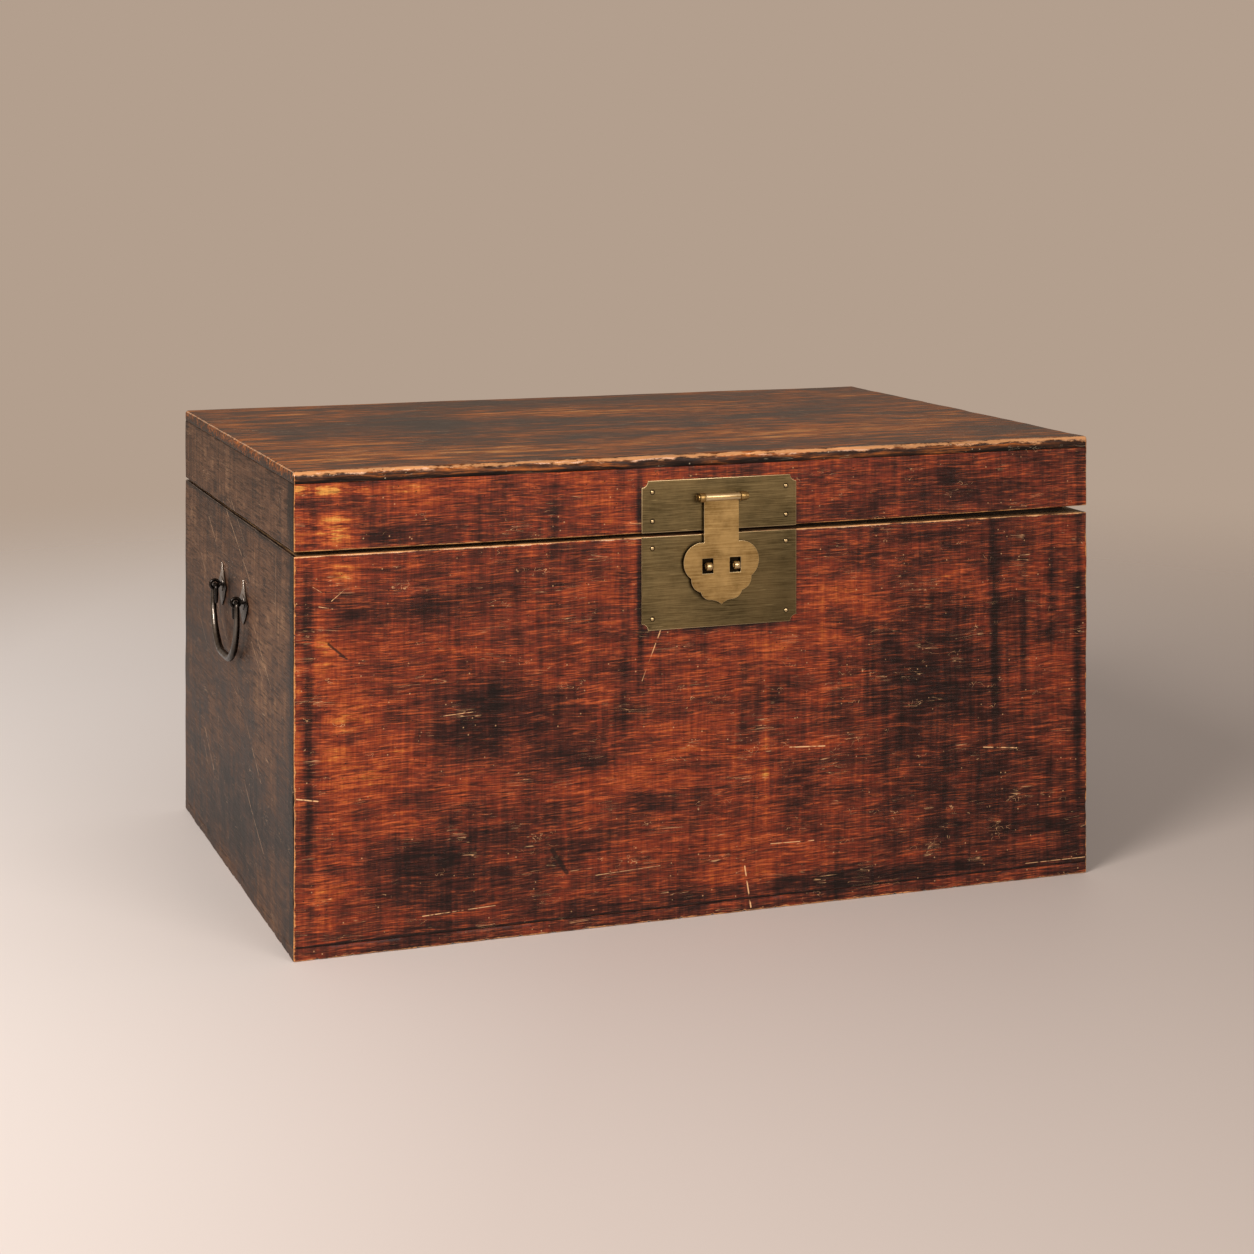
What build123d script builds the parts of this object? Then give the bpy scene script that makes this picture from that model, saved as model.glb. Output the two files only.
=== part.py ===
"""A wooden storage trunk with a lift-up lid, brass lock plates, a scalloped hasp and iron drop handles.

Units are millimetres. X runs along the front from left to right, Y from front to back, Z up.
The origin is the centre of the underside.
"""

import os
from math import ceil, sqrt

from build123d import *

# ---------------------------------------------------------------- driving dimensions

# The case
width = 900.0  # over the side boards
depth = 616.0  # over the front and back boards
box_height = 403.0  # floor to the rim of the box
lid_height = 85.0  # rim of the box to the top of the lid
wall = 20.0  # box boards
lid_wall = 18.5  # lid boards, thinner so that the lid drops over the lips
top_board = 13.0
bottom_board = 13.0
top_seam_y = -28.0  # seam between the two planks of the top
bottom_seam_y = 60.0  # seam between the two planks of the bottom
worn_front = 5.0  # rounding of the top's front edge, worn by hands
worn_arris = 2.5  # rounding of its other outer edges

# The old lid has warped, so the seam under it isn't even
gap_front_left = 4.6
gap_front_middle = 4.2
gap_front_right = 7.5
gap_back = 2.6

# Lips inside the rim, and the blocks in the lid's corners that ride on them
lip_thick = 10.0
lip_rise = 12.0  # above the rim
lip_drop = 23.0  # below the rim
block_leg = 32.0
seat_clearance = 0.3

# Headless cut nails through the top and the bottom
nail_pitch = 71.0
nail_head = 4.4  # square width at the top
nail_tip = 1.3
nail_length = 34.0
nail_sink = 0.6  # punched below the wood
nail_corner = 42.0  # first nail from the corner
nail_clearance = 0.05

# Brass round-headed nails through the plates
tack_head = 4.0  # diameter
tack_rise = 1.1  # height of the domed head
tack_shank = 1.8
tack_length = 13.0
tack_taper = 3.0  # length of the point
tack_sides = 8
tack_hole_side = 1.9  # square hole that the square shank is driven into
tack_inset = 12.0  # from the plate's edges

# Lock plates on the front
lock_x = 7.0  # the lock sits a little right of the middle
plate_thick = 1.2
plate_width = 176.0
lower_plate_height = 98.0
upper_plate_height = 54.5
plate_notch = 7.0  # radius of the concave corners

# Hasp: strap, rolled barrel and scalloped plate, cut from one sheet
hasp_thick = 1.4
hasp_stand_off = 3.4  # from the lock plate to the back of the hasp
hasp_width = 39.4
hasp_barrel = 8.0  # outer diameter of the roll
hasp_pin = 4.0
hasp_pin_rise = 39.4  # axis above the rim
running_clearance = 0.05
side_play = 0.4
lobe_drop = 29.0  # centre of the large lobes below the rim
lobe_radius = 20.7
lobe_spread = 22.0  # centre of each large lobe from the middle line
hasp_tip_drop = 74.2
slot_width = 12.5
slot_height = 16.0
slot_spread = 15.6  # centre of each slot from the middle line

# Loop staples: the padlock's pair and the pair that holds the hasp's pin
staple_drop = 33.2  # padlock eyes below the rim
staple_width = 6.0
staple_strip = 2.8  # the two layers of the strip together
staple_eye = 8.4  # outer diameter
padlock_bore = 4.4
padlock_clearance = 0.6  # from the hasp's face to the padlock's bar
pin_eye = 10.0
clench = 11.0  # length of each tail bent over on the inside
clench_thick = 1.4
fit_clearance = 0.1

# Back hinges
hinge_x = 270.0
hinge_width = 72.0
hinge_leaf = 42.0
hinge_thick = 1.5
hinge_barrel = 7.2
hinge_pin = 3.5
knuckle_gap = 0.3
knuckle_sides = 8

# Drop handles
handle_drop = 87.0  # axis below the rim
handle_span = 122.0  # between the two eyes
eye_stand_off = 9.5
eye_ring = 4.8  # radius of the ring's centre line
eye_bar = 1.9  # radius of the ring's bar
eye_shank = 2.2  # radius
leaf_rise = 24.5  # tip of the leaf above and below the eye
leaf_half_width = 24.0
leaf_hollow = 3.6  # how far its upper flanks curve in
leaf_crown = 2.4  # how far its lower flanks curve out
leaf_thick = 1.5
leaf_boss = 8.5  # radius of the raised round under the eye
leaf_boss_rise = 0.7
bail_end = 2.4  # bar radius in the eyes
bail_grip = 3.6  # bar radius at the grip
bail_drop = 68.0  # axis to the grip's centre line
bail_arm = 8.0  # arms outside the eyes
bail_tail = 11.0  # hook ends inside the eyes
bail_tail_length = 20.0
bail_neck = 12.0  # where each hook ends on its arm, below the axis
bail_hook_radius = 4.0
bail_corner = 48.0
bar_sides = 8  # the bars were hammered round from square, so their section has flats
eye_sides = 6

# ---------------------------------------------------------------- derived places

rim = box_height
top = box_height + lid_height
lid_board_top = top - top_board
front, back = -depth / 2, depth / 2
left, right = -width / 2, width / 2

hasp_back_y = front - plate_thick - hasp_stand_off
pin_y = hasp_back_y - hasp_barrel / 2
pin_z = rim + hasp_pin_rise
hasp_front_y = hasp_back_y - hasp_thick
padlock_y = hasp_front_y - padlock_clearance - padlock_bore / 2
padlock_z = rim - staple_drop
lip_bottom = max(rim - lip_drop, padlock_z + staple_strip / 2 + clench + fit_clearance)  # above the clenched tails
lid_inside_y = front + lid_wall
box_inside_y = front + wall

hinge_y = back + hinge_barrel / 2
hinge_z = rim + gap_back / 2

handle_z = rim - handle_drop

os.makedirs("parts", exist_ok=True)


def finish(builder, name):
    builder.part.label = name
    export_step(builder.part, f"parts/{name}.step")


# ---------------------------------------------------------------- shared shapes


def mitred_outline(side, thick):
    """Corner points of a board with mitred ends, seen from above."""
    if side in ("front", "back"):
        s = -1 if side == "front" else 1
        outer, inner = s * depth / 2, s * (depth / 2 - thick)
        return [(left, outer), (right, outer), (right - thick, inner), (left + thick, inner)]
    s = -1 if side == "left" else 1
    outer, inner = s * width / 2, s * (width / 2 - thick)
    return [(outer, front), (outer, back), (inner, back - thick), (inner, front + thick)]


def nail_places(side, thick):
    """Evenly spaced nails along the middle of a board's edge."""
    run = (width if side in ("front", "back") else depth) - 2 * nail_corner
    count = max(1, ceil(run / nail_pitch))
    steps = [-run / 2 + run * i / count for i in range(count + 1)]
    if side in ("front", "back"):
        y = (-1 if side == "front" else 1) * (depth / 2 - thick / 2)
        return [(x, y) for x in steps]
    x = (-1 if side == "left" else 1) * (width / 2 - thick / 2)
    return [(x, y) for y in steps]


def cut_nail(grow=0.0):
    """A square tapered nail that points down from z = 0; grow makes the hole that it is driven into."""
    slope = (nail_head - nail_tip) / (nail_length - nail_sink)
    start, end = (0.0 if grow else -nail_sink), -nail_length - grow
    with BuildPart() as nail:
        for z in (start, end):
            with BuildSketch(Plane.XY.offset(z)):
                side = nail_head + 2 * grow + slope * (z + nail_sink)
                Rectangle(side, side)
        loft()
    return nail.part


def tack():
    """A round-headed nail with a square shank that points down from z = 0, its head above."""
    with BuildPart() as nail:
        for start, length, end in (
            (-tack_length, tack_taper, tack_shank / 4),
            (0, -(tack_length - tack_taper), tack_shank),
        ):
            with BuildSketch(Plane.XY.offset(start)):
                Rectangle(end, end)
            with BuildSketch(Plane.XY.offset(start + length)):
                Rectangle(tack_shank, tack_shank)
            loft()
        for height, spread in ((0, 1), (0.6, 0.8), (1, 0.4)):
            with BuildSketch(Plane.XY.offset(height * tack_rise)):
                RegularPolygon(spread * tack_head / 2, tack_sides)
        loft(ruled=True)
    return nail.part


def tack_hole():
    """The square hole that a tack is driven into, down from z = 0."""
    with BuildPart() as hole:
        Box(tack_hole_side, tack_hole_side, 2 * (tack_length + nail_clearance))
    return hole.part


side_names = ("front", "back", "left", "right")
nail, nail_hole = cut_nail(), cut_nail(nail_clearance)
brass_tack, brass_tack_hole = tack(), tack_hole()

lower_tacks = [
    (lock_x + sx * (plate_width / 2 - tack_inset), rim - z)
    for sx in (-1, 1)
    for z in (tack_inset, lower_plate_height - tack_inset)
]
upper_plate_bottom = rim + gap_front_middle
upper_tacks = [
    (lock_x + sx * (plate_width / 2 - tack_inset), upper_plate_bottom + z)
    for sx in (-1, 1)
    for z in (tack_inset, upper_plate_height - tack_inset)
]
hinge_tacks = [
    (sx * hinge_x + tx * (hinge_width / 2 - tack_inset), dz)
    for sx in (-1, 1)
    for tx in (-1, 1)
    for dz in (hinge_leaf * 0.4, hinge_leaf - tack_inset * 0.6)
]
front_tacks = {
    row: [Location((x, front - plate_thick, z), (90, 0, 0)) for x, z in places]
    for row, places in (("lower", lower_tacks), ("upper", upper_tacks))
}
back_tacks = {
    row: [Location((x, back + hinge_thick, hinge_z + up * dz), (-90, 0, 0)) for x, dz in hinge_tacks]
    for row, up in (("lower", -1), ("upper", 1))
}
front_face = Plane.XZ.offset(depth / 2)  # local y is up, positive extrusions come out of the front
back_face = Plane(origin=(0, back, 0), x_dir=(-1, 0, 0), z_dir=(0, 1, 0))
padlock_xs = [lock_x - slot_spread, lock_x + slot_spread]
eye_offset = hasp_width / 2 + side_play + staple_width / 2
pin_eye_xs = [lock_x - eye_offset, lock_x + eye_offset]


def staple_hole(xs, z, thick):
    """Slots through a front board and its plate for the loop staples' strips."""
    with BuildPart() as slot:
        with BuildSketch(front_face.offset(plate_thick)):
            with Locations(*[(x, z) for x in xs]):
                Rectangle(staple_width + 2 * fit_clearance, staple_strip + 2 * fit_clearance)
        extrude(amount=-(thick + plate_thick))
    return slot.part


lower_slots = staple_hole(padlock_xs, padlock_z, wall)
upper_slots = staple_hole(pin_eye_xs, pin_z, lid_wall)

handle_ys = [-handle_span / 2, handle_span / 2]

# ---------------------------------------------------------------- box boards

for side in side_names:
    with BuildPart() as board:
        with BuildSketch(Plane.XY.offset(bottom_board)):
            Polygon(*mitred_outline(side, wall), align=None)
        extrude(amount=rim - bottom_board)
        with Locations(*[(x, y, 0) for x, y in nail_places(side, wall)]):
            add(nail_hole, rotation=(180, 0, 0), mode=Mode.SUBTRACT)
        if side == "front":
            add(lower_slots, mode=Mode.SUBTRACT)
            with Locations(*front_tacks["lower"]):
                add(brass_tack_hole, mode=Mode.SUBTRACT)
        if side == "back":
            with Locations(*back_tacks["lower"]):
                add(brass_tack_hole, mode=Mode.SUBTRACT)
        if side in ("left", "right"):
            with BuildSketch(Plane.YZ.offset(left if side == "left" else right - wall)):
                with Locations(*[(y, handle_z) for y in handle_ys]):
                    RegularPolygon(eye_shank + fit_clearance, eye_sides)
            extrude(amount=wall, mode=Mode.SUBTRACT)
    finish(board, f"{side}_board")

for name, near, far in (
    ("bottom_plank_front", front, bottom_seam_y),
    ("bottom_plank_back", bottom_seam_y, back),
):
    with BuildPart() as plank:
        with BuildSketch():
            with Locations((0, (near + far) / 2)):
                Rectangle(width, far - near)
        extrude(amount=bottom_board)
        for side in side_names:
            with Locations(*[(x, y, 0) for x, y in nail_places(side, wall)]):
                add(nail_hole, rotation=(180, 0, 0), mode=Mode.SUBTRACT)
    finish(plank, name)

with BuildPart() as bottom_nails:
    for side in side_names:
        with Locations(*[(x, y, 0) for x, y in nail_places(side, wall)]):
            add(nail, rotation=(180, 0, 0))
finish(bottom_nails, "bottom_nails")

# ---------------------------------------------------------------- lips inside the rim

inside_x, inside_y = width / 2 - wall, depth / 2 - wall
for side in side_names:
    long_side = side in ("front", "back")
    sign = -1 if side in ("front", "left") else 1
    with BuildPart() as lip:
        with BuildSketch(Plane.XY.offset(lip_bottom)):
            if long_side:
                with Locations((0, sign * (inside_y - lip_thick / 2))):
                    Rectangle(2 * inside_x, lip_thick)
            else:
                with Locations((sign * (inside_x - lip_thick / 2), 0)):
                    Rectangle(lip_thick, 2 * (inside_y - lip_thick))
        extrude(amount=rim + lip_rise - lip_bottom)
        top_edges = lip.edges().group_by(Axis.Z)[-1].filter_by(Axis.X if long_side else Axis.Y)
        chamfer(top_edges, min(2.0, lip_thick / 4))
    finish(lip, f"lip_{side}")

# ---------------------------------------------------------------- lid boards

for side in side_names:
    with BuildPart() as board:
        with BuildSketch(Plane.XY.offset(rim)):
            Polygon(*mitred_outline(side, lid_wall), align=None)
        extrude(amount=lid_board_top - rim)
        if side == "front":
            with BuildSketch(Plane.XZ):
                with BuildLine():
                    start = (left, rim + gap_front_left)
                    end = (right, rim + gap_front_right)
                    ThreePointArc(start, (0, rim + gap_front_middle), end)
                    Polyline(end, (right, lid_board_top), (left, lid_board_top), start)
                make_face()
            extrude(amount=depth, both=True, mode=Mode.INTERSECT)
        elif side == "back":
            with BuildSketch(Plane.XY.offset(rim)):
                Rectangle(2 * width, 2 * depth)
            extrude(amount=gap_back, mode=Mode.SUBTRACT)
        else:
            gap_front = gap_front_left if side == "left" else gap_front_right
            with BuildSketch(Plane.YZ):
                Polygon(
                    (front, rim + gap_front),
                    (back, rim + gap_back),
                    (back, lid_board_top),
                    (front, lid_board_top),
                    align=None,
                )
            extrude(amount=width, both=True, mode=Mode.INTERSECT)
        with Locations(*[(x, y, top) for x, y in nail_places(side, lid_wall)]):
            add(nail_hole, mode=Mode.SUBTRACT)
        if side == "front":
            add(upper_slots, mode=Mode.SUBTRACT)
            with Locations(*front_tacks["upper"]):
                add(brass_tack_hole, mode=Mode.SUBTRACT)
        if side == "back":
            with Locations(*back_tacks["upper"]):
                add(brass_tack_hole, mode=Mode.SUBTRACT)
    finish(board, f"lid_{side}_board")

for name, near, far, outer in (
    ("top_plank_front", front, top_seam_y, front),
    ("top_plank_back", top_seam_y, back, back),
):
    with BuildPart() as plank:
        with BuildSketch(Plane.XY.offset(lid_board_top)):
            with Locations((0, (near + far) / 2)):
                Rectangle(width, far - near)
        extrude(amount=top_board)
        upper = plank.edges().group_by(Axis.Z)[-1]
        ends = upper.filter_by(Axis.Y)
        fillet(ends, min(worn_arris, top_board / 4))
        outer_edge = plank.edges().group_by(Axis.Z)[-1].filter_by(Axis.X).filter_by_position(
            Axis.Y, outer - 1, outer + 1)
        fillet(outer_edge, min(worn_front if outer == front else worn_arris, top_board * 0.4))
        for side in side_names:
            with Locations(*[(x, y, top) for x, y in nail_places(side, lid_wall)]):
                add(nail_hole, mode=Mode.SUBTRACT)
    finish(plank, name)

with BuildPart() as top_nails:
    for side in side_names:
        with Locations(*[(x, y, top) for x, y in nail_places(side, lid_wall)]):
            add(nail)
finish(top_nails, "top_nails")

with BuildPart() as corner_blocks:
    with BuildSketch(Plane.XY.offset(rim + lip_rise + seat_clearance)):
        for sx in (-1, 1):
            for sy in (-1, 1):
                x, y = sx * (width / 2 - lid_wall), sy * (depth / 2 - lid_wall)
                Polygon((x, y), (x - sx * block_leg, y), (x, y - sy * block_leg), align=None)
    extrude(amount=lid_board_top - rim - lip_rise - seat_clearance)
finish(corner_blocks, "lid_corner_blocks")

# ---------------------------------------------------------------- lock plates

for name, bottom_z, plate_height, notched_z, tacks, slots in (
    ("lower_lock_plate", rim - lower_plate_height, lower_plate_height, rim - lower_plate_height,
     lower_tacks, lower_slots),
    ("upper_lock_plate", upper_plate_bottom, upper_plate_height,
     upper_plate_bottom + upper_plate_height, upper_tacks, upper_slots),
):
    with BuildPart() as plate:
        with BuildSketch(front_face):
            with Locations((lock_x, bottom_z + plate_height / 2)):
                Rectangle(plate_width, plate_height)
            with Locations(*[(lock_x + sx * plate_width / 2, notched_z) for sx in (-1, 1)]):
                Circle(plate_notch, mode=Mode.SUBTRACT)
            with Locations(*tacks):
                Rectangle(tack_hole_side, tack_hole_side, mode=Mode.SUBTRACT)
        extrude(amount=plate_thick)
        add(slots, mode=Mode.SUBTRACT)
    finish(plate, name)

for row, places in front_tacks.items():
    with BuildPart() as tack_set:
        with Locations(*places):
            add(brass_tack)
    finish(tack_set, f"{row}_plate_tacks")

# ---------------------------------------------------------------- loop staples


def loop_staple(x, y, z, eye, bore, inside_y):
    """A strip bent round into an eye, driven through plate and board and clenched behind."""
    with BuildPart() as staple:
        with BuildSketch(Plane.YZ.offset(x)):
            with Locations((y, z)):
                Circle(eye / 2)
            with Locations(((y + inside_y) / 2, z)):
                Rectangle(inside_y - y, staple_strip)
            with Locations((inside_y + clench_thick / 2, z)):
                Rectangle(clench_thick, staple_strip + 2 * clench)
            with Locations((y, z)):
                Circle(bore / 2, mode=Mode.SUBTRACT)
        extrude(amount=staple_width / 2, both=True)
    return staple


for name, x in zip(("left", "right"), padlock_xs):
    staple = loop_staple(x, padlock_y, padlock_z, staple_eye, padlock_bore, box_inside_y)
    finish(staple, f"padlock_staple_{name}")

for name, x in zip(("left", "right"), pin_eye_xs):
    bore = hasp_pin + 2 * running_clearance
    staple = loop_staple(x, pin_y, pin_z, pin_eye, bore, lid_inside_y)
    finish(staple, f"hasp_pin_eye_{name}")

# ---------------------------------------------------------------- hasp and its pin

eye_outer = eye_offset + staple_width / 2
bead = hasp_pin * 1.1
pin_head = -eye_outer - side_play / 2
pin_finial = eye_outer + side_play / 2
with BuildPart() as pin:
    with BuildSketch(Plane(origin=(lock_x, pin_y, pin_z), x_dir=(1, 0, 0), z_dir=(0, -1, 0))):
        with BuildLine():
            r = hasp_pin / 2
            Polyline(
                (pin_head - 1.2, 0),
                (pin_head - 1.2, r * 1.2),
                (pin_head, r * 1.6),
                (pin_head, r),
                (pin_finial, r),
                (pin_finial, bead),
                (pin_finial + 1.3, bead),
                (pin_finial + 1.5, bead * 0.6),
                (pin_finial + 1.8, bead * 0.8),
                (pin_finial + 2.8, bead * 0.8),
                (pin_finial + 3.4, bead * 0.4),
                (pin_finial + 3.4, 0),
                close=True,
            )
        make_face()
    revolve(axis=Axis((lock_x, pin_y, pin_z), (1, 0, 0)))
finish(pin, "hasp_pin")

half = hasp_width / 2
lobe_z = rim - lobe_drop
shoulder_z = lobe_z + sqrt(lobe_radius**2 - (lobe_spread - half) ** 2)
tip_z = rim - hasp_tip_drop
first_notch = (lobe_spread + lobe_radius * 0.585, lobe_z - lobe_radius * 0.811)
second_notch = (first_notch[0] - 10.7, first_notch[1] - 14.7)
ogee = (11.5, tip_z + 5.0)

with BuildPart() as hasp:
    with BuildSketch(Plane(origin=(lock_x, hasp_back_y, 0), x_dir=(1, 0, 0), z_dir=(0, -1, 0))):
        with BuildLine():
            Line((0, pin_z), (half, pin_z))
            Line((half, pin_z), (half, shoulder_z))
            ThreePointArc((half, shoulder_z), (lobe_spread + lobe_radius, lobe_z), first_notch)
            SagittaArc(first_notch, second_notch, 3.4)
            SagittaArc(second_notch, ogee, 2.6)
            SagittaArc(ogee, (0, tip_z), -1.0)
            mirror(about=Plane.YZ)
        make_face()
        with Locations((-slot_spread, padlock_z), (slot_spread, padlock_z)):
            Rectangle(slot_width, slot_height, mode=Mode.SUBTRACT)
    extrude(amount=hasp_thick)
    with BuildSketch(Plane.YZ.offset(lock_x)):
        with Locations((pin_y, pin_z)):
            Circle(hasp_barrel / 2)
    extrude(amount=half, both=True)
    with BuildSketch(Plane.YZ.offset(lock_x)):
        with Locations((pin_y, pin_z)):
            Circle(hasp_pin / 2 + running_clearance)
    extrude(amount=half, both=True, mode=Mode.SUBTRACT)
finish(hasp, "hasp")

# ---------------------------------------------------------------- back hinges

third = hinge_width / 3
for side, sign in (("left", -1), ("right", 1)):
    for leaf_name, up in (("lower", -1), ("upper", 1)):
        if leaf_name == "lower":
            knuckles = [(-third, third - knuckle_gap), (third, third - knuckle_gap)]
        else:
            knuckles = [(0, third - knuckle_gap)]
        clear = hinge_barrel / 2 + 2 * knuckle_gap
        with BuildPart() as leaf:
            with BuildSketch(back_face):
                with Locations((-sign * hinge_x, hinge_z + up * (clear + hinge_leaf) / 2)):
                    Rectangle(hinge_width, hinge_leaf - clear)
                middle_z = hinge_z + up * clear / 2
                with Locations(*[(-sign * hinge_x + dx, middle_z) for dx, _ in knuckles]):
                    Rectangle(knuckles[0][1], clear)
                with Locations(*[(-x, hinge_z + up * dz) for x, dz in hinge_tacks]):
                    Rectangle(tack_hole_side, tack_hole_side, mode=Mode.SUBTRACT)
            extrude(amount=hinge_thick)
            for dx, length in knuckles:
                with BuildSketch(Plane.YZ.offset(sign * hinge_x + dx)):
                    with Locations((hinge_y, hinge_z)):
                        RegularPolygon(hinge_barrel / 2, knuckle_sides)
                extrude(amount=length / 2, both=True)
            with BuildSketch(Plane.YZ.offset(sign * hinge_x)):
                with Locations((hinge_y, hinge_z)):
                    Circle(hinge_pin / 2 + running_clearance)
            extrude(amount=hinge_width, both=True, mode=Mode.SUBTRACT)
        finish(leaf, f"hinge_{side}_{leaf_name}_leaf")
    with BuildPart() as hinge_rod:
        with BuildSketch(Plane.YZ.offset(sign * hinge_x)):
            with Locations((hinge_y, hinge_z)):
                Circle(hinge_pin / 2)
        extrude(amount=hinge_width / 2 + 1.0, both=True)
    finish(hinge_rod, f"hinge_{side}_pin")

for row, places in back_tacks.items():
    with BuildPart() as tack_set:
        with Locations(*places):
            add(brass_tack)
    finish(tack_set, f"hinge_{row}_tacks")

# ---------------------------------------------------------------- drop handles

for side, sign in (("left", -1), ("right", 1)):
    face_x = sign * width / 2
    axis_x = face_x + sign * eye_stand_off
    for place, y in zip(("front", "rear"), handle_ys):
        outward = Plane(origin=(face_x, y, handle_z), x_dir=(0, sign, 0), z_dir=(sign, 0, 0))
        with BuildPart() as leaf:
            with BuildSketch(outward):
                with BuildLine():
                    SagittaArc((0, leaf_rise), (leaf_half_width, 0), -leaf_hollow)
                    SagittaArc((leaf_half_width, 0), (0, -leaf_rise), leaf_crown)
                    mirror(about=Plane.YZ)
                make_face()
            extrude(amount=leaf_thick)
            with BuildSketch(outward):
                Circle(leaf_boss)
            extrude(amount=leaf_thick + leaf_boss_rise)
            with BuildSketch(outward):
                RegularPolygon(eye_shank + fit_clearance, eye_sides)
            extrude(amount=leaf_thick + leaf_boss_rise, mode=Mode.SUBTRACT)
        finish(leaf, f"handle_{side}_{place}_leaf")

        with BuildPart() as eye:
            with BuildSketch(Plane(origin=(axis_x, y, handle_z), x_dir=(1, 0, 0), z_dir=(0, 0, 1))):
                with Locations((sign * eye_ring, 0)):
                    RegularPolygon(eye_bar, eye_sides)
            revolve(axis=Axis((axis_x, y, handle_z), (0, 1, 0)))
            with BuildSketch(outward.offset(-wall - clench_thick)):
                RegularPolygon(eye_shank, eye_sides)
            extrude(amount=wall + clench_thick + eye_stand_off - eye_ring)
            with BuildSketch(outward.offset(-wall - clench_thick)):
                Rectangle(2 * eye_shank, 2 * clench)
            extrude(amount=clench_thick)
        finish(eye, f"handle_{side}_{place}_eye")

    half_span = handle_span / 2
    bail_plane = Plane(origin=(axis_x, 0, handle_z), x_dir=(0, 1, 0), z_dir=(1, 0, 0))
    arm, inner = half_span + bail_arm, half_span - bail_tail
    with BuildPart() as bail:
        for s in (-1, 1):
            with BuildLine(bail_plane) as hook:
                FilletPolyline(
                    (s * inner, -bail_tail_length),
                    (s * inner, 0),
                    (s * arm, 0),
                    (s * arm, -bail_neck),
                    radius=bail_hook_radius,
                )
            path = hook.wire()
            with BuildSketch(Plane(path @ 0, z_dir=path % 0)):
                RegularPolygon(bail_end, bar_sides)
            sweep(path=path)
        with BuildLine(bail_plane) as bow:
            FilletPolyline(
                (-arm, -bail_neck),
                (-arm, -bail_drop),
                (arm, -bail_drop),
                (arm, -bail_neck),
                radius=bail_corner,
            )
        path = bow.wire()
        for along, radius in ((0, bail_end), (0.5, bail_grip), (1, bail_end)):
            with BuildSketch(Plane(path @ along, z_dir=path % along)):
                RegularPolygon(radius, bar_sides)
        sweep(path=path, multisection=True)
    finish(bail, f"{side}_bail")
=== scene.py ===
"""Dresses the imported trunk: rubbed red lacquer on softwood boards, brushed brass lock plates and hasp, and
forged iron handles. Board work is reckoned in millimetres and turned to metres when the mesh is made.
"""
import math

import bmesh
import bpy
import numpy as np
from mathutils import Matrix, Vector


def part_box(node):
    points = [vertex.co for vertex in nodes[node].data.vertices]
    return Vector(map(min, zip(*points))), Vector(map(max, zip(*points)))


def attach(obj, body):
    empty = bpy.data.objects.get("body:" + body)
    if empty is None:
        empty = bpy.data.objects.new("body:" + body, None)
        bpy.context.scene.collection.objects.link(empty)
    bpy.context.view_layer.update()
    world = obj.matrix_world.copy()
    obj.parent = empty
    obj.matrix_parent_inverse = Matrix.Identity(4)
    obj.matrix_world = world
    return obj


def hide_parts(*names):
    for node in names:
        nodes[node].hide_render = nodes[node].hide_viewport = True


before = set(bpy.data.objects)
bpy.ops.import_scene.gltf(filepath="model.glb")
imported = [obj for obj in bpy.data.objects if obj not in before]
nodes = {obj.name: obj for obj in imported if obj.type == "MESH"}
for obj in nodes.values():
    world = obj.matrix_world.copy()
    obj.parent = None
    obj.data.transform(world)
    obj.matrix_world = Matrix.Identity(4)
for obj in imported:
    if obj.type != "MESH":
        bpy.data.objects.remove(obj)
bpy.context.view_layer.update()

MM = 0.001

# --- the case, in millimetres

case_low, case_high = (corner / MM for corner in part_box("front_board"))
HALF_WIDTH, HALF_DEPTH, RIM = case_high.x, -case_low.y, case_high.z
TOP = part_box("top_plank_front")[1].z / MM
TOP_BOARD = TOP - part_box("top_plank_front")[0].z / MM
BOTTOM_BOARD = case_low.z
WALL = HALF_DEPTH + case_high.y
LID_WALL = HALF_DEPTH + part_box("lid_front_board")[1].y / MM
TOP_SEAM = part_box("top_plank_front")[1].y / MM
BOTTOM_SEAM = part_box("bottom_plank_front")[1].y / MM
GAP_LEFT, GAP_MIDDLE, GAP_RIGHT, GAP_BACK = 4.6, 4.2, 7.5, 2.6  # the warped lid's seam over the rim


def colour(text):
    """sRGB hex to the linear colour that a shader takes."""
    parts = [int(text[i:i + 2], 16) / 255 for i in (1, 3, 5)]
    return [c / 12.92 if c <= 0.04045 else ((c + 0.055) / 1.055) ** 2.4 for c in parts] + [1.0]


def add(tree, kind, inputs=(), output=0, **settings):
    """Adds a node with its settings and its inputs, links or values in order or by key; gives one output."""
    plain = kind.startswith(("Geometry", "NodeGroup", "Function"))
    made = tree.nodes.new(kind if plain else "ShaderNode" + kind)
    for key, value in settings.items():
        setattr(made, key, value)
    for key, value in inputs.items() if isinstance(inputs, dict) else enumerate(inputs):
        if isinstance(value, bpy.types.NodeSocket):
            tree.links.new(value, made.inputs[key])
        else:
            made.inputs[key].default_value = value
    return made.outputs[output] if made.outputs else None


def set_ramp(socket, stops):
    """Gives a colour ramp its stops, each a place from 0 to 1 and a hex colour."""
    elements = socket.node.color_ramp.elements
    for i, (place, text) in enumerate(stops):
        stop = elements[i] if i < 2 else elements.new(place)
        stop.position, stop.color = place, colour(text)
    return socket


SMOOTH = {"interpolation_type": "SMOOTHSTEP"}
OF_COLOUR = {"output": 2, "data_type": "RGBA"}
DARKENED = {"blend_type": "MULTIPLY", **OF_COLOUR}
TIMES, PLUS, TIMES_PLUS, LARGER = ({"operation": name} for name in (
    "MULTIPLY", "ADD", "MULTIPLY_ADD", "MAXIMUM"))


def repeats(*sizes):
    """How often a pattern of these sizes in millimetres repeats in a metre, along X, Y and Z."""
    return tuple(1.0 / (size * MM) for size in sizes)


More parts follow.
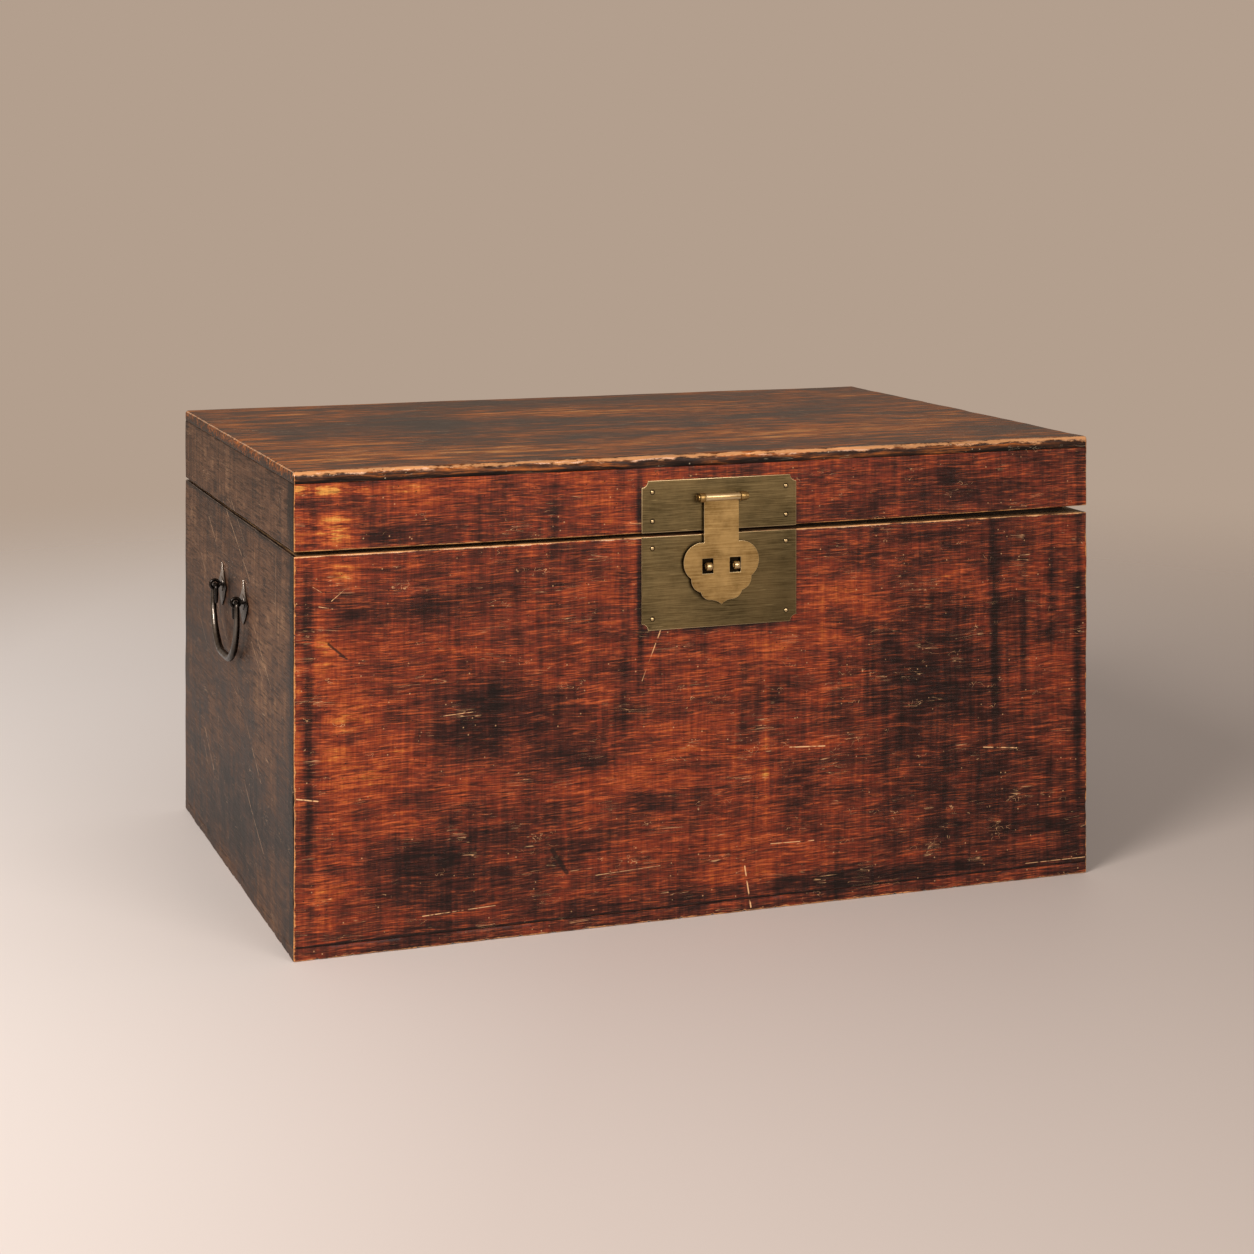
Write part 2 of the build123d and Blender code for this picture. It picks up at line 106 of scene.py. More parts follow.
def new_material(name):
    made = bpy.data.materials.new(name)
    made.use_nodes = True
    made.node_tree.nodes.clear()
    return made, made.node_tree


# --- camera and light

camera = bpy.data.objects.new("camera", bpy.data.cameras.new("camera"))
bpy.context.scene.collection.objects.link(camera)
camera.location = (-0.9849, -2.7570, 0.8129)
camera.rotation_euler = (math.radians(90), 0, math.radians(-19.93))
camera.data.lens = 71.75
camera.data.sensor_width = 36
camera.data.shift_y = -0.3844  # a level camera with its lens shifted down, so uprights stay parallel
bpy.context.scene.camera = camera
bpy.context.scene.view_settings.view_transform = "Standard"


def soft_box(name, place, size, power, tint):
    """A round soft light aimed at the middle of the chest."""
    lamp = bpy.data.lights.new(name, "AREA")
    lamp.shape, lamp.size, lamp.energy = "DISK", size, power
    lamp.color = colour(tint)[:3]
    made = bpy.data.objects.new(name, lamp)
    bpy.context.scene.collection.objects.link(made)
    made.location = place
    made.rotation_euler = (Vector((0, 0, 0.2)) - Vector(place)).to_track_quat("-Z", "Y").to_euler()


soft_box("window_light", (-2.9, -2.3, 2.7), 1.7, 165, "#fff6ee")
soft_box("front_light", (0.9, -3.7, 1.6), 2.2, 60, "#fff4ec")

world = bpy.data.worlds.new("studio")
bpy.context.scene.world = world
world.use_nodes = True
tree = world.node_tree
tree.nodes.clear()
shown = add(tree, "Math", (add(tree, "LightPath", output="Is Camera Ray"),
                           add(tree, "LightPath", output="Is Glossy Ray")), **LARGER)
add(tree, "OutputWorld", {"Surface": add(tree, "MixShader", (
    shown,
    add(tree, "Background", {"Color": colour("#f6efe9"), "Strength": 0.42}),
    add(tree, "Background", {"Color": colour("#b39f8e"), "Strength": 1.0})))})

# --- boards

RING_EDGE = (0.5, 1.0, 1.6, 2.3, 3.1, 4.1, 5.4, 7.0, 9.5)  # cuts beside an arris, close where it is rounded


def cuts(length, step):
    """Places from 0 to 1 where a board of that length is cut: close beside its arrises, then a step apart."""
    first, last = RING_EDGE[-1], length - RING_EDGE[-1]
    inner = np.linspace(first, last, max(2, round((last - first) / step) + 1))
    edge = np.array(RING_EDGE[:-1])
    return np.array([0.0, *edge, *inner, *(length - edge[::-1]), length]) / length


def cut_block(*ticks):
    """The skin of a block cut at these ticks: its points from 0 to 1, and quads that face outwards."""
    count = [len(t) for t in ticks]
    quads = []
    for axis in range(3):
        a, b = (axis + 1) % 3, (axis + 2) % 3
        p, q = np.meshgrid(np.arange(count[a] - 1), np.arange(count[b] - 1), indexing="ij")
        for side in (0, count[axis] - 1):
            corners = []
            for da, db in ((0, 0), (1, 0), (1, 1), (0, 1)):
                place = [None] * 3
                place[axis], place[a], place[b] = np.full(p.shape, side), p + da, q + db
                corners.append(((place[0] * count[1] + place[1]) * count[2] + place[2]).ravel())
            face = np.stack(corners, 1)
            quads.append(face if side else face[:, ::-1])
    used, quads = np.unique(np.concatenate(quads), return_inverse=True)
    i, rest = np.divmod(used, count[1] * count[2])
    j, k = np.divmod(rest, count[2])
    return np.stack([ticks[0][i], ticks[1][j], ticks[2][k]], 1), quads.reshape(-1, 4)


def ripple(points, length, seed, waves=7):
    """Smooth unevenness of about that wavelength, from about -1 to 1."""
    draw = np.random.default_rng(seed)
    total = np.zeros(len(points))
    for _ in range(waves):
        way = draw.normal(size=3)
        way *= 2 * math.pi / (length * draw.uniform(0.6, 1.6) * np.linalg.norm(way))
        total += np.sin(points @ way + draw.uniform(0, 2 * math.pi))
    return total / (waves / 2)


def round_over(a, b, radius):
    """Turns the square arris where the depths a and b are both nought into a quarter round."""
    near = (a < radius) & (b < radius)
    va, vb = np.where(near, radius - a, 0.0), np.where(near, radius - b, 0.0)
    reach = np.maximum(np.hypot(va, vb), 1e-9)
    pull = np.maximum(va, vb) / reach
    return np.where(near, radius - va * pull, a), np.where(near, radius - vb * pull, b)


# Dents and chips in the front and its corners: X, Z, half lengths along X, Y and Z, depth
front_dents = [
    (-423, TOP - 3, 5, 4, 4, 1.2), (-412, TOP - 2, 4, 3, 4, 1.0), (-348, TOP - 2, 6, 4, 4, 1.1),
    (-314, TOP - 3, 5, 3, 3, 0.8), (-286, TOP - 2, 7, 4, 4, 1.2), (-249, TOP - 1, 6, 4, 4, 1.0),
    (-173, TOP - 2, 8, 5, 4, 1.6), (-154, TOP - 3, 13, 6, 5, 1.9), (40, TOP - 2, 7, 4, 4, 1.3),
    (232, TOP - 1, 15, 5, 4, 1.7), (-HALF_WIDTH, 162, 4, 4, 7, 2.0), (-HALF_WIDTH, 143, 3, 3, 14, 1.1),
    (HALF_WIDTH, 209, 3, 3, 8, 1.5), (HALF_WIDTH, 74, 4, 4, 6, 1.4), (-171, 74, 7, 3, 4, 1.0),
    (-405, 308, 6, 3, 4, 0.9), (-163, 63, 3, 3, 4, 1.0), (-57, RIM, 9, 3, 3, 0.9),
    (302, RIM, 7, 3, 3, 0.8), (173, RIM, 5, 3, 3, 0.8),
]
dents = [((x, -HALF_DEPTH, z), reach, depth) for x, z, *reach, depth in front_dents]
dents += [((-HALF_WIDTH, y, z), (3, half_length, 3), depth) for y, z, half_length, depth in (
    (-198, TOP - 1, 9, 1.0), (44, TOP - 1, 7, 0.9), (-110, RIM, 8, 0.8))]  # along the left side
KNOCKS, KNOCK, ALONG_FRONT, ALONG_SIDE = 46, 2.5, 440, 290  # how many small knocks, how wide, how far out
chance = np.random.default_rng(41)
for _ in range(KNOCKS):  # along the upright corners, the top's arrises and the foot
    kind = chance.integers(4)
    side = chance.choice((-1, 1))
    along = chance.uniform(-1, 1)
    size = chance.uniform(2.0, 5.0)
    if kind == 0:
        place = side * HALF_WIDTH, HALF_DEPTH * chance.choice((-1, -1, 1)), TOP / 2 * (1 + 0.95 * along)
        reach = KNOCK, KNOCK, size
    elif kind == 1:
        place, reach = (ALONG_FRONT * along, side * HALF_DEPTH, TOP - 1), (size, KNOCK, KNOCK)
    elif kind == 2:
        place, reach = (side * HALF_WIDTH, ALONG_SIDE * along, TOP - 1), (KNOCK, size, KNOCK)
    else:
        place, reach = (ALONG_FRONT * along, -HALF_DEPTH, 1), (size, KNOCK, 3.0)
    dents.append((place, reach, chance.uniform(0.5, 1.2)))
NOTCH_PITCH, NOTCH_DEPTH = 35.5, 1.5  # the foot's small dark notches, in front and on the left
dents += [((i * NOTCH_PITCH, -HALF_DEPTH, 0), (2.4, 5, 3.4), NOTCH_DEPTH) for i in range(-12, 13)]
dents += [((-HALF_WIDTH, i * NOTCH_PITCH, 0), (5, 2.4, 3.4), NOTCH_DEPTH) for i in range(-8, 9)]


HOLLOW_REACH = 9  # how deep the skin moves with a shallow hollow


def weather(points, upper, lower):
    """Rounds, hollows and knocks the outside. A place moves alike on every board, so joints stay shut."""
    sign = np.sign(points[:, :2])
    side, face = HALF_WIDTH - np.abs(points[:, 0]), HALF_DEPTH - np.abs(points[:, 1])
    above, below = upper - points[:, 2], points[:, 2] - lower
    vary = 1 + 0.35 * ripple(points, 60, 3)
    in_front = points[:, 1] < 0
    top_face = points[:, 2] > TOP - TOP_BOARD + 0.01
    foot = points[:, 2] < BOTTOM_BOARD - 0.01
    side, face = round_over(side, face, 2.6 * vary)
    # the lid's top arris is worn broad in front, the rim and the seams less
    top_front = np.where(top_face, np.where(in_front, 6.0, 3.2), np.where(upper > RIM + 1, 0.8, 1.7)) * vary
    top_side = np.where(top_face, 3.2, np.where(upper > RIM + 1, 0.8, 1.7)) * vary
    base = np.where(top_face, 0.8, np.where(foot, 2.0, np.where(lower > RIM, 1.5, 0.45))) * vary
    face, above = round_over(face, above, top_front)
    side, above = round_over(side, above, top_side)
    face, below = round_over(face, below, base)
    side, below = round_over(side, below, base)
    hollow = np.clip(0.3 + 0.25 * ripple(points * (1, 1, 2.5), 170, 8), 0, 0.6)
    side = side + hollow * np.clip(1 - side / HOLLOW_REACH, 0, 1)
    face = face + hollow * np.clip(1 - face / HOLLOW_REACH, 0, 1)
    above = above + np.where(top_face, hollow * np.clip(1 - above / HOLLOW_REACH, 0, 1), 0)
    moved = np.stack([sign[:, 0] * (HALF_WIDTH - side), sign[:, 1] * (HALF_DEPTH - face), upper - above], 1)
    moved[:, 2] = np.where(below < (upper - lower) / 2, lower + below, moved[:, 2])
    for place, reach, depth in dents:
        far = ((points - place) / reach) ** 2
        fall = np.clip(1 - far.sum(1), 0, 1) ** 1.5
        if fall.any():
            inward = -np.array([np.sign(place[0]) * (HALF_WIDTH - abs(place[0]) < 8),
                                np.sign(place[1]) * (HALF_DEPTH - abs(place[1]) < 8),
                                (place[2] > TOP - 8) - float(place[2] < 8)])
            moved += fall[:, None] * depth * inward / max(np.linalg.norm(inward), 1)
    return moved


UNWORN = 9.0  # a distance from a worn arris at which no wood is bare


def arris_wear(points, upper, lower):
    """Distance from the nearest worn arris over the width that is bare there, and how bleached it is."""
    side, face = HALF_WIDTH - np.abs(points[:, 0]), HALF_DEPTH - np.abs(points[:, 1])
    above, below = upper - points[:, 2], points[:, 2] - lower
    on_face, in_front = face <= side + 0.01, points[:, 1] < 0
    is_top, is_rim = upper.max() > TOP - 1, abs(upper.max() - RIM) < 1
    is_lid_side, is_foot = lower.min() > RIM and not is_top, lower.max() < 1
    edges = [(np.maximum(side, face), np.where(on_face & in_front, 1.9, 0.5), 0.2)]
    if is_top:
        edges += [(np.maximum(face, above), np.where(in_front, 4.2, 1.4), 0.6),
                  (np.maximum(side, above), 1.3, 0.5)]
    if is_rim:
        edges += [(np.maximum(face, above), np.where(in_front, 1.5, 0.9), 1.0),
                  (np.maximum(side, above), 0.3, 0.1)]
    if is_lid_side:
        edges += [(np.maximum(face, below), 1.1, 0.5), (np.maximum(side, below), 0.3, 0.1)]
    if is_foot:
        edges += [(np.maximum(face, below), 1.5, 0.5), (np.maximum(side, below), 0.6, 0.3)]
    ratios = np.array([distance / np.broadcast_to(width, distance.shape) for distance, width, _ in edges])
    nearest = ratios.argmin(0)
    return np.minimum(ratios.min(0), UNWORN), np.array([bleach for _, _, bleach in edges])[nearest]


def patches(across, up, marks):
    """How strongly patches cover each point: each has its place across and up, half sizes and a strength."""
    total = np.zeros(len(across))
    for x, z, rx, rz, strength in marks:
        total = np.maximum(total, strength * np.exp(-(((across - x) / rx) ** 2 + ((up - z) / rz) ** 2)))
    return total


# Where the lacquer is rubbed through to orange wood on the front, and where dirt lies in it (X, Z)
front_rubbed = [
    (-424, 468, 62, 5.5, 2.0), (-329, 465, 50, 5, 0.8), (-408, 428, 32, 17, 1.5), (-400, 383, 18, 11, 1.3),
    (-434, 435, 14, 46, 1.0), (-330, 405, 120, 40, 0.16), (-90, 430, 130, 40, 0.2), (-370, 300, 60, 60, 0.16),
    (-424, 300, 20, 90, 0.7), (-418, 60, 18, 60, 0.8),
    (-394, 239, 34, 24, 0.9), (-432, 5, 20, 10, 0.9), (-426, 379, 16, 21, 0.3), (-379, 182, 60, 40, 0.7),
    (153, 333, 24, 10, 0.7), (285, 340, 30, 11, 0.8), (399, 311, 22, 16, 0.6), (-329, 128, 60, 22, 0.5),
    (60, 177, 5, 95, 0.8), (126, 296, 5, 100, 0.5), (-288, 153, 40, 20, 0.5), (-7, 246, 40, 40, 0.35),
    (33, 168, 60, 40, 0.4), (-97, 148, 80, 30, 0.3), (153, 59, 70, 14, 0.3), (-443, 246, 5, 170, 0.6),
    (-197, 449, 90, 12, 0.3), (322, 296, 12, 60, 0.4), (-399, 118, 40, 40, 0.4), (441, 325, 10, 60, 0.3),
]
front_grime = [
    (-252, 237, 44, 45, 0.75), (-303, 345, 30, 22, 0.5), (248, 244, 78, 92, 0.65), (250, 248, 40, 28, 0.3),
    (-357, 420, 34, 12, 0.7), (-434, 246, 7, 260, 0.85), (-177, 419, 5, 40, 0.55), (-101, 246, 7, 160, 0.4),
    (333, 266, 6.5, 120, 0.9), (370, 296, 5, 110, 0.5), (404, 325, 4, 90, 0.5), (438, 227, 6, 200, 0.85),
    (302, 59, 190, 16, 0.6), (63, 232, 60, 18, 0.55), (-157, 177, 60, 16, 0.5), (93, 138, 30, 40, 0.4),
    (-57, 128, 60, 16, 0.35), (-399, 345, 24, 30, 0.45), (302, 434, 120, 20, 0.35), (33, 202, 20, 60, 0.4),
    (430, 44, 18, 40, 0.6), (-430, 434, 8, 50, 0.7), (-197, 89, 90, 16, 0.3), (153, 197, 30, 50, 0.3),
    (-300, 75, 130, 45, 0.35), (300, 130, 170, 110, 0.22), (200, 24, 280, 11, 0.85), (-220, 22, 240, 7, 0.4),
    (0, BOTTOM_BOARD + 0.6, 3000, 1.7, 1.6), (-436, 200, 5.5, 170, 0.6),
]
for source in ("lower_lock_plate", "upper_lock_plate"):  # painted shadow on the wood along each plate's left edge and under its foot
    (left, _, foot), (right, _, head) = (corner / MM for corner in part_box(source))
    front_grime += [(left - 1.5, (foot + head) / 2, 3.2, (head - foot) * 0.7, 1.3),
                    ((left + right) / 2, foot - 1, (right - left) * 0.7, 2.6, 0.8)]
foot_grime = [(0, 0, 2000, 2000, 0.25)]
side_rubbed = [
    (0, 325, 165, 50, 0.3), (-165, 197, 66, 80, 0.25), (132, 118, 88, 50, 0.25), (66, 434, 176, 16, 0.2),
    (-250, 8, 60, 5, 0.8),
]
side_grime = [
    (110, 59, 176, 50, 0.4), (-220, 59, 66, 70, 0.5), (20, 314, 66, 50, 0.35), (-50, 80, 500, 110, 0.55),
    (0, RIM - 1, 3000, 3, 0.9), (0, 4, 330, 7, 0.6), (0, 487, 440, 9, 0.5), (-44, 246, 15, 60, 0.35),
]
end_grime = [*side_grime, (-302, 246, 16, 400, 1.7), (305, 246, 6, 400, 0.6)]  # and by the ends' corners
top_rubbed = [
    (-360, -165, 60, 77, 0.6), (-390, -230, 50, 30, 0.8), (-150, -220, 160, 44, 0.7),
    (150, -176, 160, 77, 0.6), (-300, 220, 90, 33, 0.6), (100, 132, 180, 66, 0.5),
    (330, -110, 90, 88, 0.45), (-420, 99, 20, 132, 0.5), (360, 198, 60, 55, 0.3),
]
top_grime = [
    (-210, 88, 60, 143, 0.9), (-383, 11, 22, 66, 0.5), (0, 253, 240, 29, 0.6), (60, -44, 120, 24, 0.5),
    (260, 44, 90, 44, 0.5), (-30, -121, 90, 20, 0.4), (400, -220, 60, 44, 0.5), (-100, 33, 60, 66, 0.5),
]


def lid_edge(points):
    """Height of the lid boards' lower edge, which the warp makes uneven."""
    x, y = points[:, 0] / HALF_WIDTH, points[:, 1]
    bow = (GAP_LEFT + GAP_RIGHT) / 2 - GAP_MIDDLE
    front = GAP_MIDDLE + (GAP_RIGHT - GAP_LEFT) / 2 * x + bow * x * x
    corner = np.where(x < 0, GAP_LEFT, GAP_RIGHT)
    side = corner + (GAP_BACK - corner) * (y + HALF_DEPTH) / (2 * HALF_DEPTH)
    on_front = HALF_DEPTH - np.abs(y) <= HALF_WIDTH - np.abs(points[:, 0]) + 1e-6
    return RIM + np.where(on_front, np.where(y < 0, front, GAP_BACK), side)


def make_object(name, points, faces, materials, face_material=None, sharp=38):
    """A mesh object at the origin, with its place in its points, in millimetres here."""
    mesh = bpy.data.meshes.new(name)
    mesh.from_pydata((np.asarray(points) * MM).tolist(), [], [list(f) for f in faces])
    for material in materials:
        mesh.materials.append(material)
    if face_material is not None:
        mesh.polygons.foreach_set("material_index", face_material)
    mesh.polygons.foreach_set("use_smooth", [True] * len(mesh.polygons))
    mesh.set_sharp_from_angle(angle=math.radians(sharp))
    mesh.update()
    made = bpy.data.objects.new(name, mesh)
    bpy.context.scene.collection.objects.link(made)
    return made


def put(piece, body, node):
    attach(piece, body)
    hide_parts(node)
    return piece


def set_marks(piece, **marks):
    """Keeps the wear on the mesh, where the wood's material reads it."""
    for key, values in marks.items():
        mark = piece.data.attributes.new(key, "FLOAT", "POINT")
        mark.data.foreach_set("value", np.asarray(values, dtype=np.float32))


SKIN = 3.2  # how deep the finish and the dirt go round an arris


def finish_board(node, points, quads, upper, lower, plane, body, slot_name, materials, rubbed, grime):
    """Weathers a board, marks its wear and stands it for its CAD node. The materials are its outside's,
    its inside's and, on a plank that shows on two sides, its ends'."""
    is_top = upper.max() > TOP - 1
    skin = np.minimum(HALF_WIDTH - np.abs(points[:, 0]), HALF_DEPTH - np.abs(points[:, 1]))
    if is_top:
        skin = np.minimum(skin, upper - points[:, 2])
    outer = skin < SKIN
    kind = (~outer[quads]).any(1).astype(np.int32)
    if len(materials) > 2:
        kind[(np.abs(points[quads][:, :, 0]) > HALF_WIDTH - 0.01).all(1)] = 2
    piece = make_object(node + "_dressed", weather(points, upper, lower), quads, materials, kind)
    across, up = points[:, plane[0]], points[:, plane[1]]
    arris, bleach = arris_wear(points, upper, lower)
    # dirt, and on the front the painted shadow beside the lock plates
    dirt = patches(across, up, grime)
    if is_top:  # dirt under the worn edge of the top
        dirt = np.maximum(dirt, np.interp(upper - points[:, 2], (6, 8, 11, 12.5), (0, 0.35, 0.35, 0.9)))
    set_marks(piece, arris=arris, bleach=bleach, rubbed=patches(across, up, rubbed) * outer,
              grime=dirt * outer)  # the inside is neither rubbed nor dirty
    return put(piece, body, node)


def depth_cuts(thick):
    """Places from 0 to 1 where a board is cut from its outer face inwards."""
    return np.array([0.0, *RING_EDGE, thick]) / thick


def wall_board(node, turn, thick, body, *look):
    """A mitred board on one side of the box or lid; turn counts quarter turns from the front."""
    half, away = (HALF_DEPTH, HALF_WIDTH) if turn % 2 else (HALF_WIDTH, HALF_DEPTH)
    foot, head = (RIM, TOP - TOP_BOARD) if body == "lid" else (BOTTOM_BOARD, RIM)
    units, quads = cut_block(cuts(2 * half, 3.0), depth_cuts(thick), cuts(head - foot, 6.0))
    u, v, w = units.T
    inner = v * thick
    x, y = (2 * u - 1) * (half - inner), inner - away
    for _ in range(turn):
        x, y = -y, x
    points = np.stack([x, y, np.zeros(len(x))], 1)
    lower = lid_edge(points) if body == "lid" else np.full(len(x), foot)
    upper = np.full(len(x), head)
    points[:, 2] = lower + w * (upper - lower)
    return finish_board(node, points, quads, upper, lower, (turn % 2, 2), body, *look)


def flat_board(node, near, far, low, high, body, *look):
    """A plank of the top or the bottom, cut most finely by its outer face."""
    layers = depth_cuts(high - low) if low == 0 else 1 - depth_cuts(high - low)[::-1]
    units, quads = cut_block(cuts(2 * HALF_WIDTH, 3.0), cuts(far - near, 5.0), layers)
    points = units * (2 * HALF_WIDTH, far - near, high - low) + (-HALF_WIDTH, near, low)
    upper, lower = np.full(len(points), high), np.full(len(points), low)
    return finish_board(node, points, quads, upper, lower, (0, 1), body, *look)


# --- materials


def on_front(x, z):
    return Vector((x, -HALF_DEPTH, z)) * MM


def on_left(y, z):
    return Vector((-HALF_WIDTH, y, z)) * MM


# Knife cuts and knocks in the front: X and Z of both ends, half width
pale_cuts = [
    (-55, 316, -80, 253, 0.7), (-162, 62, -132, 63, 0.6), (-132, 55, -60, 58, 0.6), (-317, 32, -240, 35, 0.7),
    (66, 69, 116, 68, 0.6), (88, 170, 129, 168, 0.8), (320, 151, 361, 147, 0.7), (372, 18, 449, 18, 0.6),
    (181, 311, 228, 287, 0.45), (-430, 372, -421, 366, 0.5), (36, 48, 43, 4, 1.0),
    (-411, 357, -397, 368, 0.5), (-424, 352, -410, 349, 0.4), (-447, 162, -425, 158, 0.8),
    (-298, 233, -260, 235, 0.4),
]
side_cuts = [
    (176, 128, 118, 92, 1.1), (182, 112, 150, 84, 0.8), (60, 410, -90, 344, 0.8), (150, 380, 96, 352, 0.8),
    (20, 420, -60, 382, 0.6), (120, 300, 40, 258, 0.6), (-110, 300, -200, 250, 0.7),
    (-100, 280, -206, 226, 0.6), (-20, 215, -150, 140, 0.7), (220, 260, 150, 222, 0.6),
    (200, 330, 170, 312, 0.6), (-60, 120, -170, 66, 0.6), (-222, 392, -222, 316, 0.6), (90, 160, 90, 60, 0.5),
]
dark_cuts = [(-179, 86, -163, 61, 2.8), (-414, 314, -398, 300, 1.5), (-403, 302, -395, 298, 1.0)]


def cut_distance(tree, place, face, cuts_made):
    """How far a point is from the nearest of these cuts in a face, over that cut's half width."""
    nearest = None
    for x0, z0, x1, z1, half in cuts_made:
        start = face(x0, z0)
        run = face(x1, z1) - start
        off = add(tree, "VectorMath", (place, start), operation="SUBTRACT")
        along = add(tree, "VectorMath", (off, run / run.length_squared), "Value", operation="DOT_PRODUCT")
        along = add(tree, "Math", (along, 0.0), operation="ADD", use_clamp=True)
        foot = add(tree, "VectorMath", {0: run, "Scale": along}, operation="SCALE")
        away = add(tree, "VectorMath", (off, foot), "Value", operation="DISTANCE")
        ratio = add(tree, "Math", (away, half * MM), operation="DIVIDE")
        nearest = ratio if nearest is None else add(tree, "Math", (nearest, ratio), operation="MINIMUM")
    return nearest


def old_wood(name, long_way, stops, dash_tone, bare_tones, weights, start, rough, weave,
             face=None, pale=(), dark=(), coarse=1.0):
    """Softwood under an old finish. One measure of wear runs from dirt through the finish to bare wood:
    clouds, streaks along the grain and brush marks across it add up to it, and the stops colour it.
    Thin dashes where the finish has gone from the ridges of the grain, and thin lines of dirt, lie over it.
    Coarse widens the streaks and dashes where real ones would be too fine to show."""
    made, tree = new_material(name)
    place = add(tree, "TexCoord", output="Object")
    marks = {key: add(tree, "Attribute", output="Fac", attribute_name=key)
             for key in ("arris", "bleach", "rubbed", "grime")}
    bend = add(tree, "TexNoise", {"Vector": place, "Scale": repeats(110)[0], "Detail": 2.0}, "Color")
    swayed = add(tree, "VectorMath", (bend, (9 * MM,) * 3, place), **TIMES_PLUS)

    def pattern(along, across, detail=3.0, roughness=0.6, shift=0.0, distortion=0.0):
        """Cloudy variation of that length along the grain and that width across it, in millimetres."""
        scale = repeats(*(along if axis == long_way else across for axis in range(3)))
        moved = add(tree, "Mapping", {"Vector": swayed, "Scale": scale,
                                      "Location": (shift, shift * 1.7, shift * 2.3)})
        return add(tree, "TexNoise", {"Vector": moved, "Scale": 1.0, "Detail": detail, "Roughness": roughness,
                                      "Distortion": distortion})

    def hairline(along, across, width, gate, shift):
        """Thin wandering lines where a cloudy pattern crosses its middle value, kept to a few places."""
        level = add(tree, "Math", (pattern(along, across, 1, 0.5, shift, 0.6), 0.5), operation="SUBTRACT")
        level = add(tree, "Math", (level,), operation="ABSOLUTE")
        line = add(tree, "MapRange", (level, width, width * 0.35), **SMOOTH)
        here = add(tree, "MapRange", (pattern(40, 16, 2, 0.5, shift + 5), gate, gate + 0.05), **SMOOTH)
        return add(tree, "Math", (line, here), **TIMES)

    streak = pattern(52 * coarse, 2.1 * coarse, 4, 0.68, 3.0)
    parts = (pattern(210, 95, 2), pattern(52, 19, 5, 0.66, 1.0), streak,
             pattern(6.5 * coarse, 130, 3, 0.6, 11.0))
    wear = start - sum(weights) / 2
    for part, weight in zip(parts, weights):
        wear = add(tree, "Math", (part, weight, wear), **TIMES_PLUS)
    broken = add(tree, "MapRange", (pattern(38, 8, 5, 0.7, 47.0), 0.36, 0.62, 0.03, 0.40))
    wear = add(tree, "Math", (marks["rubbed"], broken, wear), **TIMES_PLUS)
    # dirt, and on the front a painted shadow beside the lock plates, darken the finish
    wear = add(tree, "Math", (marks["grime"], -0.32, wear), **TIMES_PLUS)
    tone = set_ramp(add(tree, "ValToRGB", {"Fac": wear}), stops)
    # the finish has gone from the ridges of the grain in dashes, most where it is thin already
    dashes = add(tree, "MapRange", (pattern(26 * coarse, 1.35 * coarse, 3, 0.62, 7.0), 0.52, 0.62), **SMOOTH)
    worn = add(tree, "MapRange", (wear, 0.30, 0.68, 0.06, 1.0))
    worn = add(tree, "Math", (dashes, worn), **TIMES)
    tone = add(tree, "Mix", {0: worn, 6: tone, 7: colour(dash_tone)}, **OF_COLOUR)
    dirt = add(tree, "MapRange", (pattern(22 * coarse, 1.2 * coarse, 3, 0.62, 9.0), 0.48, 0.37, 1.0, 0.4))
    tone = add(tree, "Mix", {0: 1.0, 6: tone, 7: dirt}, **DARKENED)
    # the weave of the cloth under the lacquer, or the plane's chatter
    thread = add(tree, "MapRange", (pattern(1.7, 18, 1, 0.5, 15.0), 0.35, 0.65, 1 - weave, 1.0))
    tone = add(tree, "Mix", {0: 1.0, 6: tone, 7: thread}, **DARKENED)
    # hair scratches and curls, light where they cut through to wood
    scratched = add(tree, "Math", (hairline(9, 7, 0.012, 0.66, 20.0),
                                   hairline(60, 3.4, 0.010, 0.60, 26.0)), **LARGER)
    fleck = add(tree, "TexVoronoi", {"Vector": place, "Scale": repeats(8)[0]}, "Distance")
    fleck = add(tree, "MapRange", (fleck, 0.12, 0.06))
    here = add(tree, "MapRange", (pattern(30, 22, 2, 0.5, 61.0), 0.52, 0.58))
    fleck = add(tree, "Math", (fleck, here), **TIMES)
    scratched = add(tree, "Math", (scratched, fleck), **LARGER)
    scratched = add(tree, "Math", (scratched, 0.5), **TIMES)
    if pale:
        cut = add(tree, "MapRange", (cut_distance(tree, place, face, pale), 1.1, 0.4), **SMOOTH)
        broken = add(tree, "MapRange", (pattern(9, 9, 2, 0.6, 31.0), 0.38, 0.52))
        cut = add(tree, "Math", (cut, broken), **TIMES)
        scratched = add(tree, "Math", (scratched, cut), **LARGER)
    tone = add(tree, "Mix", {0: scratched, 6: tone, 7: colour(bare_tones[2])}, **OF_COLOUR)
    # bare wood along the arrises, its edge torn along the grain and broken up
    tear = add(tree, "MapRange", (pattern(24, 9, 5, 0.75, 40.0), 0.3, 0.7, -0.9, 1.0))
    ragged = add(tree, "Math", (marks["arris"], tear), **PLUS)
    bared = add(tree, "MapRange", (ragged, 1.15, 0.4), **SMOOTH)
    bare = add(tree, "Mix", {0: marks["bleach"], 6: colour(bare_tones[0]), 7: colour(bare_tones[1])},
               **OF_COLOUR)
    grain = add(tree, "MapRange", (streak, 0.3, 0.7, 0.5, 1.15))
    bare = add(tree, "Mix", {0: 1.0, 6: bare, 7: grain}, **DARKENED)
    tone = add(tree, "Mix", {0: bared, 6: tone, 7: bare}, **OF_COLOUR)
    # pin holes and deep knocks
    holes = add(tree, "TexVoronoi", {"Vector": place, "Scale": repeats(10)[0]}, "Distance")
    holes = add(tree, "MapRange", (holes, 0.09, 0.05))
    if dark:
        knock = add(tree, "MapRange", (cut_distance(tree, place, face, dark), 1.2, 0.5), **SMOOTH)
        holes = add(tree, "Math", (holes, knock), **LARGER)
    dotted = add(tree, "Math", (holes, 0.85), **TIMES)
    tone = add(tree, "Mix", {0: dotted, 6: tone, 7: colour("#1d110d")}, **OF_COLOUR)

